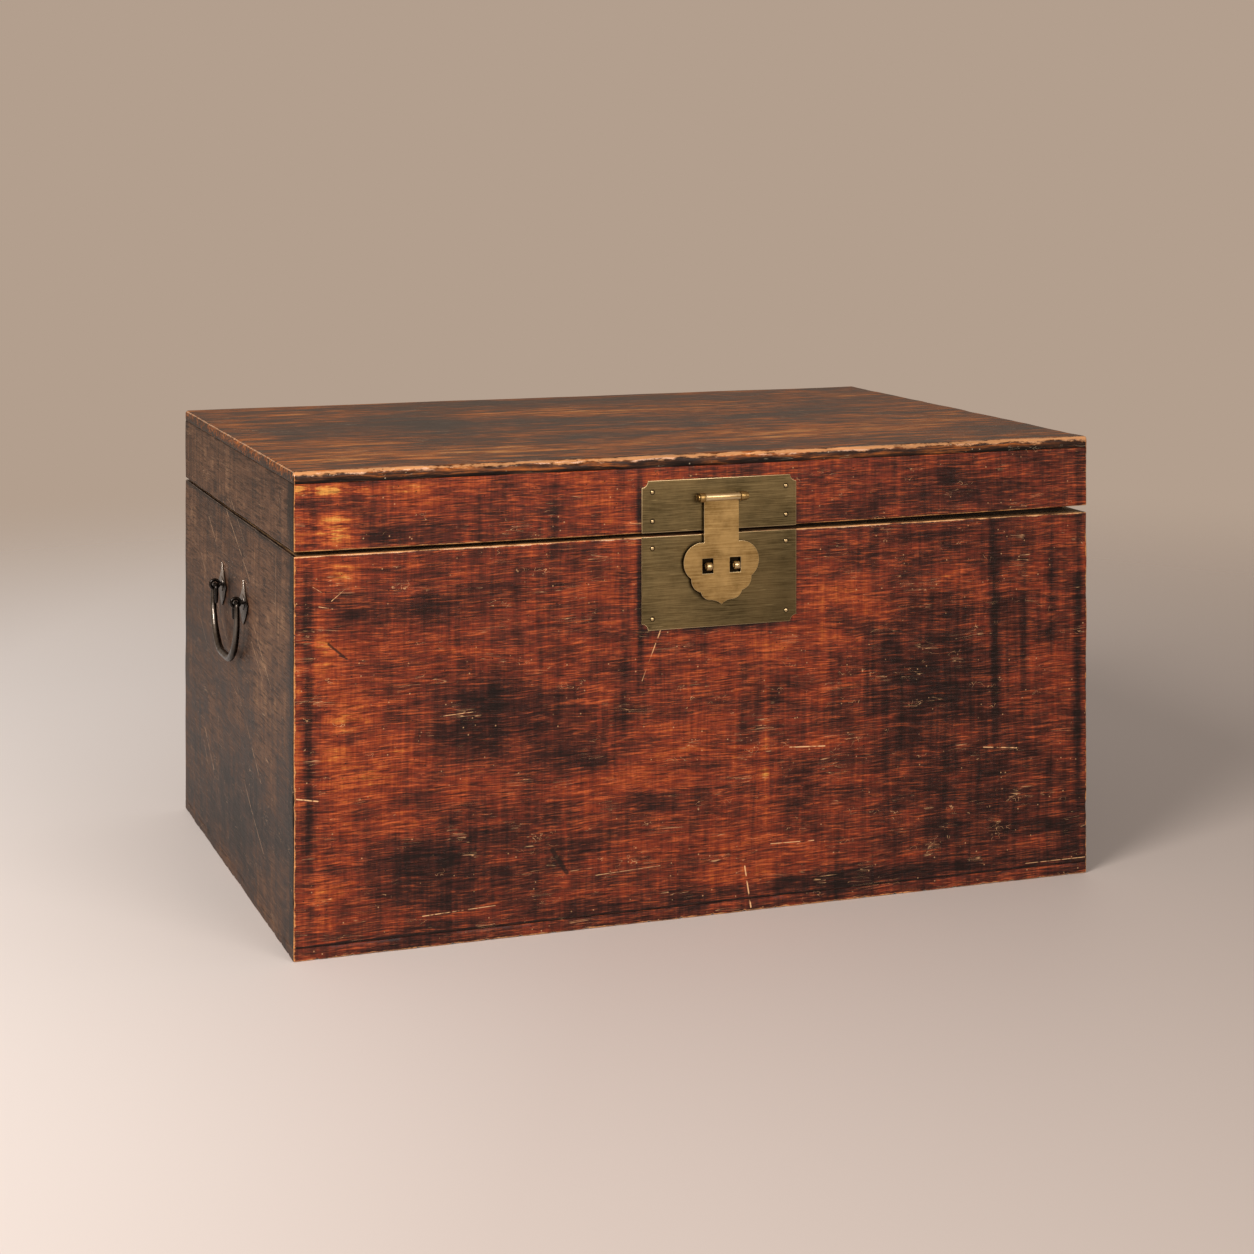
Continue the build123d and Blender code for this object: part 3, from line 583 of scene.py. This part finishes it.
    relief = add(tree, "Math", (dashes, streak), **PLUS)
    relief = add(tree, "Math", (holes, -1.5, relief), **TIMES_PLUS)
    relief = add(tree, "Math", (scratched, -0.6, relief), **TIMES_PLUS)
    bump = add(tree, "Bump", {"Height": relief, "Strength": 0.4, "Distance": 0.4 * MM})
    shine = add(tree, "MapRange", (wear, 0.35, 0.8, rough[0], rough[1]))
    shine = add(tree, "Mix", {0: bared, 2: shine, 3: 0.27}, data_type="FLOAT")
    add(tree, "OutputMaterial", {"Surface": add(tree, "BsdfPrincipled", {
        "Base Color": tone, "Roughness": shine, "Normal": bump, "IOR": 1.45, "Specular IOR Level": 0.22,
        # hands have polished the bare arrises
        "Coat Weight": bared, "Coat Roughness": 0.24, "Coat IOR": 1.6})})
    return made


# Red lacquer brushed on by hand and rubbed for a century: a soft shine, and orange wood where it is thin
lacquered_wood = old_wood(
    "brushed_red_lacquer_on_softwood", 0,
    ((0.22, "#1a0e0b"), (0.34, "#321712"), (0.45, "#4f2318"), (0.55, "#6e2b1a"), (0.65, "#8c391b"),
     (0.77, "#b45d28"), (0.92, "#d99646")),
    "#bb5a2d", ("#c27a2e", "#dca36a", "#e0ae7c"), (0.42, 0.62, 0.62, 0.34), 0.50, (0.34, 0.48), 0.20,
    on_front, pale_cuts, dark_cuts)
# Thin dark finish on the ends, gone dull
DULL_BROWN = (
    ((0.24, "#170e09"), (0.40, "#39261c"), (0.52, "#4e3627"), (0.64, "#634735"), (0.80, "#86664c")),
    "#684c38", ("#5d4636", "#9a8068", "#b08f70"), (0.58, 0.74, 0.30, 0.60), 0.51, (0.46, 0.6), 0.12)
side_wood = old_wood("dull_brown_finish_on_side_boards", 1, *DULL_BROWN, on_left, side_cuts, coarse=1.8)
back_wood = old_wood("dull_brown_finish_on_back_boards", 0, *DULL_BROWN, coarse=1.8)
# The top has been set down on and wiped: grey-brown, with streaks where wood shows
top_wood = old_wood(
    "worn_brown_finish_on_the_top", 0,
    ((0.24, "#0f0805"), (0.37, "#28170e"), (0.48, "#3c2212"), (0.58, "#663818"), (0.70, "#955320"),
     (0.86, "#c68c50")),
    "#b8672b", ("#b5743f", "#dca06a", "#cdb899"), (0.50, 0.78, 1.25, 0.0), 0.505, (0.38, 0.52), 0.10,
    coarse=2.5)
# Softwood that never had a finish, browned by age
AGED = (
    ((0.24, "#4a3727"), (0.42, "#6b5139"), (0.55, "#836647"), (0.68, "#967853"), (0.85, "#ae9068")),
    "#a98a62", ("#8c6e4b", "#a58a66", "#b39a75"), (0.34, 0.34, 0.44, 0.0), 0.52, (0.7, 0.8), 0.08)
bare_wood = old_wood("unfinished_aged_softwood", 0, *AGED)
bare_ends = old_wood("unfinished_aged_softwood_of_the_ends", 1, *AGED)
# Softwood painted dark for the shade inside the seam between lid and box
seam_wood = old_wood(
    "softwood_darkened_as_seam_shadow", 0,
    ((0.24, "#1b1410"), (0.5, "#372a20"), (0.85, "#574535")),
    "#4c3b2e", ("#332720", "#46362a", "#5a4837"), (0.34, 0.34, 0.44, 0.0), 0.5, (0.7, 0.8), 0.08)


def merged(source):
    """A CAD node's mesh as one skin: its triangles come with points of their own."""
    cage = bmesh.new()
    cage.from_mesh(nodes[source].data)
    bmesh.ops.remove_doubles(cage, verts=cage.verts, dist=2e-6)
    return cage


def solid_boxes(source):
    """Lowest and highest corner, in millimetres, of each separate solid of a CAD node."""
    cage = merged(source)
    left, boxes = set(cage.verts), []
    while left:
        reached, corners = [left.pop()], []
        while reached:
            corner = reached.pop()
            corners.append(corner.co / MM)
            for edge in corner.link_edges:
                other = edge.other_vert(corner)
                if other in left:
                    left.remove(other)
                    reached.append(other)
        boxes.append((np.min(corners, 0), np.max(corners, 0)))
    cage.free()
    return sorted(boxes, key=lambda box: tuple(np.round(box[0])))


def sheet_metal(name, tones, rough, brush, along=30.0, dirt_and_shadow_spots=(), edge_tone="#d9c295", cloudy=75):
    """Sheet metal brushed along X, cloudy with handling, with a few bright scratches and a painted highlight
    on its outline's edges. The dark spots mark tarnish, dirt and painted shade: each has a middle, how far it
    goes in millimetres, the share of that where it starts to fade, and its strength."""
    made, tree = new_material(name)
    place = add(tree, "TexCoord", output="Object")
    cloud = add(tree, "TexNoise", {
        "Vector": place, "Scale": repeats(cloudy)[0], "Detail": 6.0, "Roughness": 0.66})
    lines = add(tree, "Mapping", {"Vector": place, "Scale": repeats(along, along, brush)})
    lines = add(tree, "TexNoise", {"Vector": lines, "Scale": 1.0, "Detail": 4.0, "Roughness": 0.65})
    tone = add(tree, "Mix", {0: add(tree, "MapRange", (cloud, 0.36, 0.64)),
                             6: colour(tones[0]), 7: colour(tones[1])}, **OF_COLOUR)
    tone = add(tree, "Mix", {0: add(tree, "MapRange", (lines, 0.40, 0.68, 0.0, 0.45)),
                             6: tone, 7: colour(tones[2])}, **OF_COLOUR)
    scratch = add(tree, "Mapping", {
        "Vector": place, "Rotation": (0, 0.5, 0), "Scale": repeats(26, 26, 1.3)})
    scratch = add(tree, "TexNoise", {"Vector": scratch, "Scale": 1.0, "Detail": 2.0})
    scratch = add(tree, "MapRange", (scratch, 0.70, 0.76))
    tone = add(tree, "Mix", {0: scratch, 6: tone, 7: colour(tones[2])}, **OF_COLOUR)
    # a painted highlight along the sheet's outline
    edge_highlight = add(tree, "Attribute", output="Fac", attribute_name="edge_highlight")
    tone = add(tree, "Mix", {0: edge_highlight, 6: tone, 7: colour(edge_tone)}, **OF_COLOUR)
    # each spot darkens the sheet toward near black: tarnish, dirt and painted shade
    for centre, reach, core, strength in dirt_and_shadow_spots:
        away = add(tree, "VectorMath", (place, Vector(centre) * MM), "Value", operation="DISTANCE")
        dirt = add(tree, "MapRange", {0: away, 1: reach * MM, 2: reach * core * MM, 4: strength}, **SMOOTH)
        tone = add(tree, "Mix", {0: dirt, 6: tone, 7: colour("#17120c")}, **OF_COLOUR)
    shine = add(tree, "MapRange", (lines, 0.3, 0.7, rough[0], rough[1]))
    bump = add(tree, "Bump", {"Height": add(tree, "Math", (cloud, 2.0, lines), **TIMES_PLUS),
                              "Strength": 0.3, "Distance": 0.06 * MM})
    add(tree, "OutputMaterial", {"Surface": add(tree, "BsdfPrincipled", {
        "Base Color": tone, "Metallic": 1.0, "Roughness": shine, "Normal": bump})})
    return made


# Brass sheet brushed flat and dulled to olive on the plates, brighter on the hasp and the nails
# for handling. Dark rings round the nails are dirt and painted shade; round the two loops under the hasp the
# dark is painted shade in the hasp's slots.
plate_dirt_and_shadow = [((low + high) / 2 * (1, 0, 1) - (0, HALF_DEPTH, 0), reach, 0.7, 0.85) for source, reach in (
    ("lower_plate_tacks", 3.6), ("upper_plate_tacks", 3.6), ("padlock_staple_left", 10.5),
    ("padlock_staple_right", 10.5)) for low, high in solid_boxes(source)]
# painted shade: the lower plate darker toward its far lower corner, and a painted shadow of the hasp round
# its lobes
plate_low, plate_high = (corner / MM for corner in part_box("lower_lock_plate"))
plate_dirt_and_shadow.append(((plate_high.x, -HALF_DEPTH, plate_low.z), 150, 0.15, 0.36))
(hasp_left, _, hasp_foot), (hasp_right, _, _) = (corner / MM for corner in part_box("hasp"))
hasp_middle = (hasp_left + hasp_right) / 2
hasp_half = hasp_right - hasp_middle
# painted shadow of the hasp on the plate, showing round its lobes
for across, up, reach in (-0.51, 1.08, 0.56), (-0.25, 0.65, 0.62), (0.40, 1.05, 0.56):
    under = hasp_middle + hasp_half * across, -HALF_DEPTH, hasp_foot + hasp_half * up
    plate_dirt_and_shadow.append((under, hasp_half * reach, 0.82, 0.6))
plate_brass = sheet_metal("brushed_sheet_brass_dulled_olive", ("#443b26", "#716040", "#9c8a62"),
                          (0.34, 0.5), 0.7, dirt_and_shadow_spots=plate_dirt_and_shadow)
hasp_brass = sheet_metal("hand_polished_sheet_brass", ("#73592f", "#a88a57", "#d0b27b"),
                         (0.30, 0.44), 0.7, cloudy=30)
nail_brass = sheet_metal("nail_heads_rubbed_bright", ("#b39a6c", "#c9b184", "#e6d4ac"),
                         (0.22, 0.32), 3.0, 4.0)

# Wrought iron, hammered and blackened with oil, with a painted highlight in pale grey along the bails' grip
# and on the leaves' blades above the eyes
forged_iron, tree = new_material("wrought_iron_blackened_with_oil")
place = add(tree, "TexCoord", output="Object")
rubbed = add(tree, "Attribute", output="Fac", attribute_name="rubbed")
hammer = add(tree, "TexNoise", {"Vector": place, "Scale": repeats(5)[0], "Detail": 3.0})
rust = add(tree, "TexNoise", {"Vector": place, "Scale": repeats(12)[0], "Detail": 6.0, "Roughness": 0.7})
tone = add(tree, "Mix", {0: add(tree, "MapRange", (rust, 0.5, 0.7)),
                         6: colour("#2e2b29"), 7: colour("#43362d")}, **OF_COLOUR)
# painted highlight: pale grey where the mark is set
tone = add(tree, "Mix", {0: rubbed, 6: tone, 7: colour("#a39a90")}, **OF_COLOUR)
add(tree, "OutputMaterial", {"Surface": add(tree, "BsdfPrincipled", {
    "Base Color": tone, "Metallic": 1.0,
    "Roughness": add(tree, "MapRange", (rust, 0.3, 0.7, 0.22, 0.38)),
    "Normal": add(tree, "Bump", {"Height": hammer, "Strength": 0.35, "Distance": 0.25 * MM})})})

# --- the boards of the box and the lid

front_look = "lacquered_wood", [lacquered_wood, bare_wood], front_rubbed, front_grime
end_look = "side_wood", [side_wood, bare_ends], side_rubbed, end_grime
back_look = "side_wood", [back_wood, bare_wood], side_rubbed, side_grime
for body, prefix, thick in (("box", "", WALL), ("lid", "lid_", LID_WALL)):
    for turn, (way, look) in enumerate((("front", front_look), ("right", end_look), ("back", back_look),
                                        ("left", end_look))):
        wall_board(f"{prefix}{way}_board", turn, thick, body, *look)
for way, near, far in ("front", -HALF_DEPTH, TOP_SEAM), ("back", TOP_SEAM, HALF_DEPTH):
    flat_board(f"top_plank_{way}", near, far, TOP - TOP_BOARD, TOP, "lid",
               "top_wood", [top_wood, bare_wood], top_rubbed, top_grime)
for way, near, far, outside in (("front", -HALF_DEPTH, BOTTOM_SEAM, lacquered_wood),
                                ("back", BOTTOM_SEAM, HALF_DEPTH, back_wood)):
    flat_board(f"bottom_plank_{way}", near, far, 0, BOTTOM_BOARD, "box",
               "bare_wood", [outside, bare_wood, side_wood], [], foot_grime)

# --- metalwork

FLAT_FROM = 90 * MM ** 2  # a face larger than this is kept flat, so that sheets don't look dished


def settle(piece):
    """Turns what the modifiers of a piece make into its own plain mesh."""
    plain = bpy.data.meshes.new_from_object(piece.evaluated_get(bpy.context.evaluated_depsgraph_get()))
    piece.modifiers.clear()
    piece.data = plain


def eased_copy(source, body, material, radius):
    """A copy of a CAD node with its sharp edges eased, as a file leaves them."""
    cage = merged(source)
    bmesh.ops.dissolve_limit(cage, angle_limit=math.radians(0.6), verts=cage.verts, edges=cage.edges)
    cage.verts.index_update()
    piece = make_object(source + "_dressed", [corner.co / MM for corner in cage.verts],
                        [[corner.index for corner in face.verts] for face in cage.faces], [material])
    cage.free()
    ease = piece.modifiers.new("eased", "BEVEL")
    ease.width, ease.segments, ease.limit_method = radius * MM, 2, "ANGLE"
    ease.angle_limit = math.radians(35)
    settle(piece)
    piece.data.set_sharp_from_angle(angle=math.radians(30))
    piece.data.polygons.foreach_set("use_smooth", [face.area < FLAT_FROM for face in piece.data.polygons])
    return put(piece, body, source)


def geometry_tree(name, *sockets):
    """A geometry tree with points in, a mesh out and these named inputs."""
    tree = bpy.data.node_groups.new(name, "GeometryNodeTree")
    tree.interface.new_socket("Points", in_out="INPUT", socket_type="NodeSocketGeometry")
    for label, kind in sockets:
        tree.interface.new_socket(label, in_out="INPUT", socket_type="NodeSocket" + kind)
    tree.interface.new_socket("Nails", in_out="OUTPUT", socket_type="NodeSocketGeometry")
    return tree, tree.nodes.new("NodeGroupInput").outputs


def scatter(tree, given, nail):
    """Sets the nail on every point, turned as asked and a little larger or smaller, and makes it real."""
    size = add(tree, "FunctionNodeRandomValue", {"Min": 0.94, "Max": 1.04, "Seed": given["Seed"]}, 1)
    many = add(tree, "GeometryNodeInstanceOnPoints", {
        "Points": given["Points"], "Instance": nail, "Rotation": given["Turn"], "Scale": size})
    real = add(tree, "GeometryNodeRealizeInstances", (many,))
    add(tree, "NodeGroupOutput", (add(tree, "GeometryNodeSetMaterial", {
        "Geometry": real, "Material": given["Metal"]}),))


round_nails, given = geometry_tree(
    "round_headed_nails", ("Head diameter", "Float"), ("Head rise", "Float"), ("Shank side", "Float"),
    ("Shank length", "Float"), ("Turn", "Vector"), ("Seed", "Int"), ("Metal", "Material"))
tree = round_nails
radius = add(tree, "Math", (given["Head diameter"], 0.5), **TIMES)
dome = add(tree, "GeometryNodeTransform", {
    "Geometry": add(tree, "GeometryNodeMeshUVSphere", {"Segments": 20, "Rings": 10, "Radius": 1.0}, "Mesh"),
    "Scale": add(tree, "CombineXYZ", (radius, radius, given["Head rise"]))})
half_length = add(tree, "Math", (given["Shank length"], -0.5), **TIMES)
shank = add(tree, "GeometryNodeTransform", {
    "Geometry": add(tree, "GeometryNodeMeshCube", {"Size": add(tree, "CombineXYZ", (
        given["Shank side"], given["Shank side"], given["Shank length"]))}, "Mesh"),
    "Translation": add(tree, "CombineXYZ", {2: half_length})})
both = add(tree, "GeometryNodeJoinGeometry", (shank,))
tree.links.new(add(tree, "GeometryNodeSetShadeSmooth", (dome,)), both.node.inputs[0])
scatter(tree, given, both)

cut_nails, given = geometry_tree(
    "square_cut_nails", ("Head side", "Float"), ("Tip side", "Float"), ("Length", "Float"),
    ("Turn", "Vector"), ("Seed", "Int"), ("Metal", "Material"))
tree = cut_nails
HALF_DIAGONAL = math.sqrt(0.5)
spike = add(tree, "GeometryNodeMeshCone", {
    "Vertices": 4, "Depth": given["Length"],
    "Radius Bottom": add(tree, "Math", (given["Head side"], HALF_DIAGONAL), **TIMES),
    "Radius Top": add(tree, "Math", (given["Tip side"], HALF_DIAGONAL), **TIMES)}, "Mesh")
scatter(tree, given, add(tree, "GeometryNodeTransform", {
    "Geometry": spike, "Rotation": (0, 0, math.radians(45))}))


def nail_row(source, body, places, tree, inputs):
    """The nails of one CAD node, set on its places by a geometry tree."""
    piece = make_object(source + "_dressed", places, [], [])
    nailing = piece.modifiers.new("nailing", "NODES")
    nailing.node_group = tree
    for item in tree.interface.items_tree:
        if item.in_out == "INPUT" and item.name in inputs:
            nailing[item.identifier] = inputs[item.name]
    settle(piece)
    return put(piece, body, source)


TACK_HEAD, TACK_RISE, TACK_SIDE, TACK_LENGTH = 4.0, 1.1, 1.8, 12.0
NAIL_HEAD, NAIL_TIP, NAIL_LENGTH = 4.4, 1.3, 33.4
QUARTER = math.radians(90)
for seed, (source, body, facing) in enumerate((
        ("lower_plate_tacks", "box", -1), ("upper_plate_tacks", "lid", -1),
        ("hinge_lower_tacks", "box", 1), ("hinge_upper_tacks", "lid", 1))):
    places = [((low[0] + high[0]) / 2, (low[1] if facing < 0 else high[1]) - facing * TACK_RISE,
               (low[2] + high[2]) / 2) for low, high in solid_boxes(source)]
    nail_row(source, body, places, round_nails, {
        "Head diameter": TACK_HEAD * MM, "Head rise": TACK_RISE * MM, "Shank side": TACK_SIDE * MM,
        "Shank length": TACK_LENGTH * MM, "Turn": (-facing * QUARTER, 0.0, 0.0), "Seed": seed,
        "Metal": nail_brass})
for seed, (source, body, upward) in enumerate((("top_nails", "lid", -1), ("bottom_nails", "box", 1))):
    places = [((low[0] + high[0]) / 2, (low[1] + high[1]) / 2, low[2] if upward > 0 else high[2])
              for low, high in solid_boxes(source)]
    nail_row(source, body, places, cut_nails, {
        "Head side": NAIL_HEAD * MM, "Tip side": NAIL_TIP * MM, "Length": NAIL_LENGTH * MM,
        "Turn": (0.0 if upward > 0 else 2 * QUARTER, 0.0, 0.0), "Seed": seed, "Metal": forged_iron})


def paint_edge_highlight(piece):
    """Marks the faces round a sheet's outline, which get a painted highlight."""
    mark = piece.data.attributes.new("edge_highlight", "FLOAT", "FACE")
    mark.data.foreach_set("value", [float(abs(face.normal.y) < 0.99) for face in piece.data.polygons])


# the sheets that get a painted highlight along their outline
HIGHLIT_OUTLINES = "lower_lock_plate", "upper_lock_plate", "hasp"
for body, slot_name, material, radius, *sources in (
        ("box", "plate_brass", plate_brass, 0.55, "lower_lock_plate"),
        ("lid", "plate_brass", plate_brass, 0.55, "upper_lock_plate"),
        ("box", "plate_brass", plate_brass, 0.2, "hinge_left_lower_leaf", "hinge_right_lower_leaf",
         "hinge_left_pin", "hinge_right_pin"),
        ("box", "plate_brass", nail_brass, 0.5, "padlock_staple_left", "padlock_staple_right"),
        ("lid", "plate_brass", plate_brass, 0.2, "hinge_left_upper_leaf", "hinge_right_upper_leaf"),
        ("hasp", "hasp_brass", hasp_brass, 0.5, "hasp"),
        ("lid", "hasp_brass", hasp_brass, 0.3, "hasp_pin", "hasp_pin_eye_left", "hasp_pin_eye_right")):
    for source in sources:
        piece = eased_copy(source, body, material, radius)
        if source in HIGHLIT_OUTLINES:
            paint_edge_highlight(piece)
# the lips carry painted shade for the seam
for body, material, *sources in (("box", seam_wood, "lip_front", "lip_back", "lip_left", "lip_right"),
                                 ("lid", bare_wood, "lid_corner_blocks")):
    for source in sources:
        piece = eased_copy(source, body, material, 0.6)
        set_marks(piece, arris=np.full(len(piece.data.vertices), UNWORN))

# --- drop handles


def round_bar(path, radii, sides, closed=False):
    """Points and faces of a round bar swept along a path, in a frame that doesn't twist."""
    path = np.asarray(path, float)
    ahead = np.roll(path, -1, 0) - np.roll(path, 1, 0) if closed else np.gradient(path, axis=0)
    ahead /= np.linalg.norm(ahead, axis=1)[:, None]
    up = np.cross(ahead[0], (0.31, 0.22, 0.93))
    turn = np.arange(sides)[:, None] * 2 * math.pi / sides
    rings = []
    for place, way, radius in zip(path, ahead, np.broadcast_to(radii, len(path))):
        up = up - way * (up @ way)
        up /= np.linalg.norm(up)
        rings.append(place + radius * (np.cos(turn) * up + np.sin(turn) * np.cross(way, up)))
    count = len(path)
    faces = []
    for i in range(count if closed else count - 1):
        near, far = i * sides, (i + 1) % count * sides
        faces += [(near + k, near + (k + 1) % sides, far + (k + 1) % sides, far + k) for k in range(sides)]
    if not closed:
        faces += [tuple(range(sides))[::-1], tuple(range((count - 1) * sides, count * sides))]
    return np.concatenate(rings), faces


def rounded_path(corners, radii, step):
    """Points along a square-cornered line whose corners are rounded, a step apart."""
    corners = [np.array(corner, float) for corner in corners]
    path = [corners[0]]
    for before, corner, after, radius in zip(corners, corners[1:], corners[2:], radii):
        back, on = ((end - corner) / np.linalg.norm(end - corner) for end in (before, after))
        centre = corner + (back + on) * radius
        path += [centre - on * radius * math.cos(t) - back * radius * math.sin(t)
                 for t in np.linspace(0, QUARTER, 2 + int(radius / step))]
    path = np.array([*path, corners[-1]])
    run = np.r_[0, np.cumsum(np.linalg.norm(np.diff(path, axis=0), axis=1))]
    even = np.linspace(0, run[-1], int(run[-1] / step) + 1)
    return np.stack([np.interp(even, run, path[:, i]) for i in range(2)], 1)


EYE_STAND_OFF, EYE_RING, EYE_BAR, EYE_SHANK = 9.5, 4.8, 1.9, 2.2  # the last three are radii
CLENCH, CLENCH_THICK = 11.0, 1.4  # half the length of the shank's bent end, and its thickness
BAIL_ARM, BAIL_TAIL, BAIL_TAIL_LENGTH, BAIL_DROP = 8.0, 11.0, 20.0, 68.0  # out, in and down from an eye
BAIL_CORNER, BAIL_HOOK = 55.0, 4.0  # how its lower corners and its hooks turn
BAIL_THIN, BAIL_GRIP, BAIL_TIP = 2.4, 4.1, 1.5  # bar radius in the eyes, at the grip and at the ends
RING_CUTS, SHANK_CUTS, EYE_SIDES, BAIL_SIDES = 28, 12, 12, 16


def handle_eye(source, sign):
    """A ring forged on a shank, which is driven through the board and bent over behind it."""
    low, high = (np.array(corner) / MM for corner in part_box(source))
    y, z = (low[1] + high[1]) / 2, (low[2] + high[2]) / 2
    axis_x = sign * (HALF_WIDTH + EYE_STAND_OFF)
    around = np.linspace(0, 2 * math.pi, RING_CUTS, endpoint=False)
    ring = np.stack([axis_x + EYE_RING * np.cos(around), np.full(RING_CUTS, y),
                     z + EYE_RING * np.sin(around)], 1)
    inside = sign * (HALF_WIDTH - WALL - CLENCH_THICK)
    run = np.linspace(axis_x - sign * EYE_RING, inside, SHANK_CUTS)
    shank = np.stack([run, np.full(SHANK_CUTS, y), np.full(SHANK_CUTS, z)], 1)
    swell = EYE_SHANK + np.r_[-0.2, 0.4, 0.5, np.zeros(SHANK_CUTS - 3)]
    units, quads = cut_block(*[np.array([0.0, 1.0])] * 3)
    clench = (units - (0, 0.5, 0.5)) * (sign * CLENCH_THICK, 2 * EYE_SHANK, 2 * CLENCH) + (inside, y, z)
    quads = quads if sign > 0 else quads[:, ::-1]
    points, faces = round_bar(ring, EYE_BAR, EYE_SIDES, closed=True)
    for more, sides in (round_bar(shank, swell, EYE_SIDES), (clench, quads)):
        faces = faces + [tuple(int(i) + len(points) for i in face) for face in sides]
        points = np.concatenate([points, more])
    piece = make_object(source + "_dressed", points, faces, [forged_iron], sharp=50)
    set_marks(piece, rubbed=np.zeros(len(points)))
    return put(piece, "box", source)


def drop_bail(source, sign, eye_ys, axis_z):
    """The drop handle: a bar drawn thin at both ends and hooked through the eyes, with the hammer's marks."""
    axis_x = sign * (HALF_WIDTH + EYE_STAND_OFF)
    middle, half_span = (eye_ys[0] + eye_ys[1]) / 2, (eye_ys[1] - eye_ys[0]) / 2
    arm, inner = half_span + BAIL_ARM, half_span - BAIL_TAIL
    path = rounded_path([(-inner, -BAIL_TAIL_LENGTH), (-inner, 0), (-arm, 0), (-arm, -BAIL_DROP),
                         (arm, -BAIL_DROP), (arm, 0), (inner, 0), (inner, -BAIL_TAIL_LENGTH)],
                        (BAIL_HOOK, BAIL_HOOK, BAIL_CORNER, BAIL_CORNER, BAIL_HOOK, BAIL_HOOK), 1.2)
    along = np.linspace(-1, 1, len(path))
    grip = np.clip((0.76 - np.abs(along)) / 0.5, 0, 1) ** 0.5
    end = np.clip((1 - np.abs(along)) / 0.07, 0, 1)
    radii = (BAIL_THIN + (BAIL_GRIP - BAIL_THIN) * grip) - (BAIL_THIN - BAIL_TIP) * (1 - end) ** 1.5
    radii[[0, -1]] *= 0.5
    line = np.stack([np.full(len(path), axis_x), middle + path[:, 0], axis_z + path[:, 1]], 1)
    points, faces = round_bar(line, radii, BAIL_SIDES)
    centre = np.repeat(line, BAIL_SIDES, axis=0)
    points = centre + (points - centre) * (1 + 0.035 * ripple(points, 9, 5) - 0.02)[:, None]
    piece = make_object(source + "_dressed", points, faces, [forged_iron], sharp=60)
    outward = (points - centre) / np.repeat(radii, BAIL_SIDES)[:, None]
    toward_light = np.clip(outward @ (0.55 * sign, -0.8, 0.25), 0, 1) ** 4  # painted highlight on the side that faces out, forward and a little up
    set_marks(piece, rubbed=0.85 * toward_light * np.repeat(grip, BAIL_SIDES))
    return put(piece, source, source)


for side, sign in (("left", -1), ("right", 1)):
    eye_ys = []
    for end in ("front", "rear"):
        source = f"handle_{side}_{end}_"
        handle_eye(source + "eye", sign)
        low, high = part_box(source + "eye")
        eye_ys.append((low.y + high.y) / 2 / MM)
        axis_z = (low.z + high.z) / 2 / MM
        leaf = eased_copy(source + "leaf", "box", forged_iron, 0.4)
        heights = np.array([vertex.co.z for vertex in leaf.data.vertices]) / MM
        set_marks(leaf, rubbed=np.clip((heights - axis_z - 2) / 10, 0, 0.9))  # painted highlight on the blade above the eye
    drop_bail(f"{side}_bail", sign, eye_ys, axis_z)

# --- floor

floor_material, tree = new_material("pale_plaster_floor")
place = add(tree, "TexCoord", output="Object")
away = add(tree, "VectorMath", (place,), "Value", operation="LENGTH")
# painted light falloff: the floor lighter toward the left and back, darker toward the right and front
across = add(tree, "VectorMath", (place, (1.0, -0.5, 0.0)), "Value", operation="DOT_PRODUCT")
painted_falloff = set_ramp(add(tree, "ValToRGB", {"Fac": add(tree, "MapRange", (across, -1.2, 1.3))}),
                 ((0.0, "#fbf6f4"), (0.5, "#cbc1bc"), (1.0, "#aca19a")))
plaster = add(tree, "BsdfPrincipled", {"Base Color": painted_falloff, "Roughness": 0.55, "IOR": 1.35})
add(tree, "OutputMaterial", {"Surface": add(tree, "MixShader", (
    add(tree, "MapRange", (away, 0.85, 3.2), **SMOOTH),
    plaster, add(tree, "BsdfTransparent")))})
REACH, DROP = 4000, 0.2
floor = make_object("floor", [(-REACH, -REACH, -DROP), (REACH, -REACH, -DROP), (REACH, REACH, -DROP),
                              (-REACH, REACH, -DROP)], [(0, 1, 2, 3)], [floor_material])
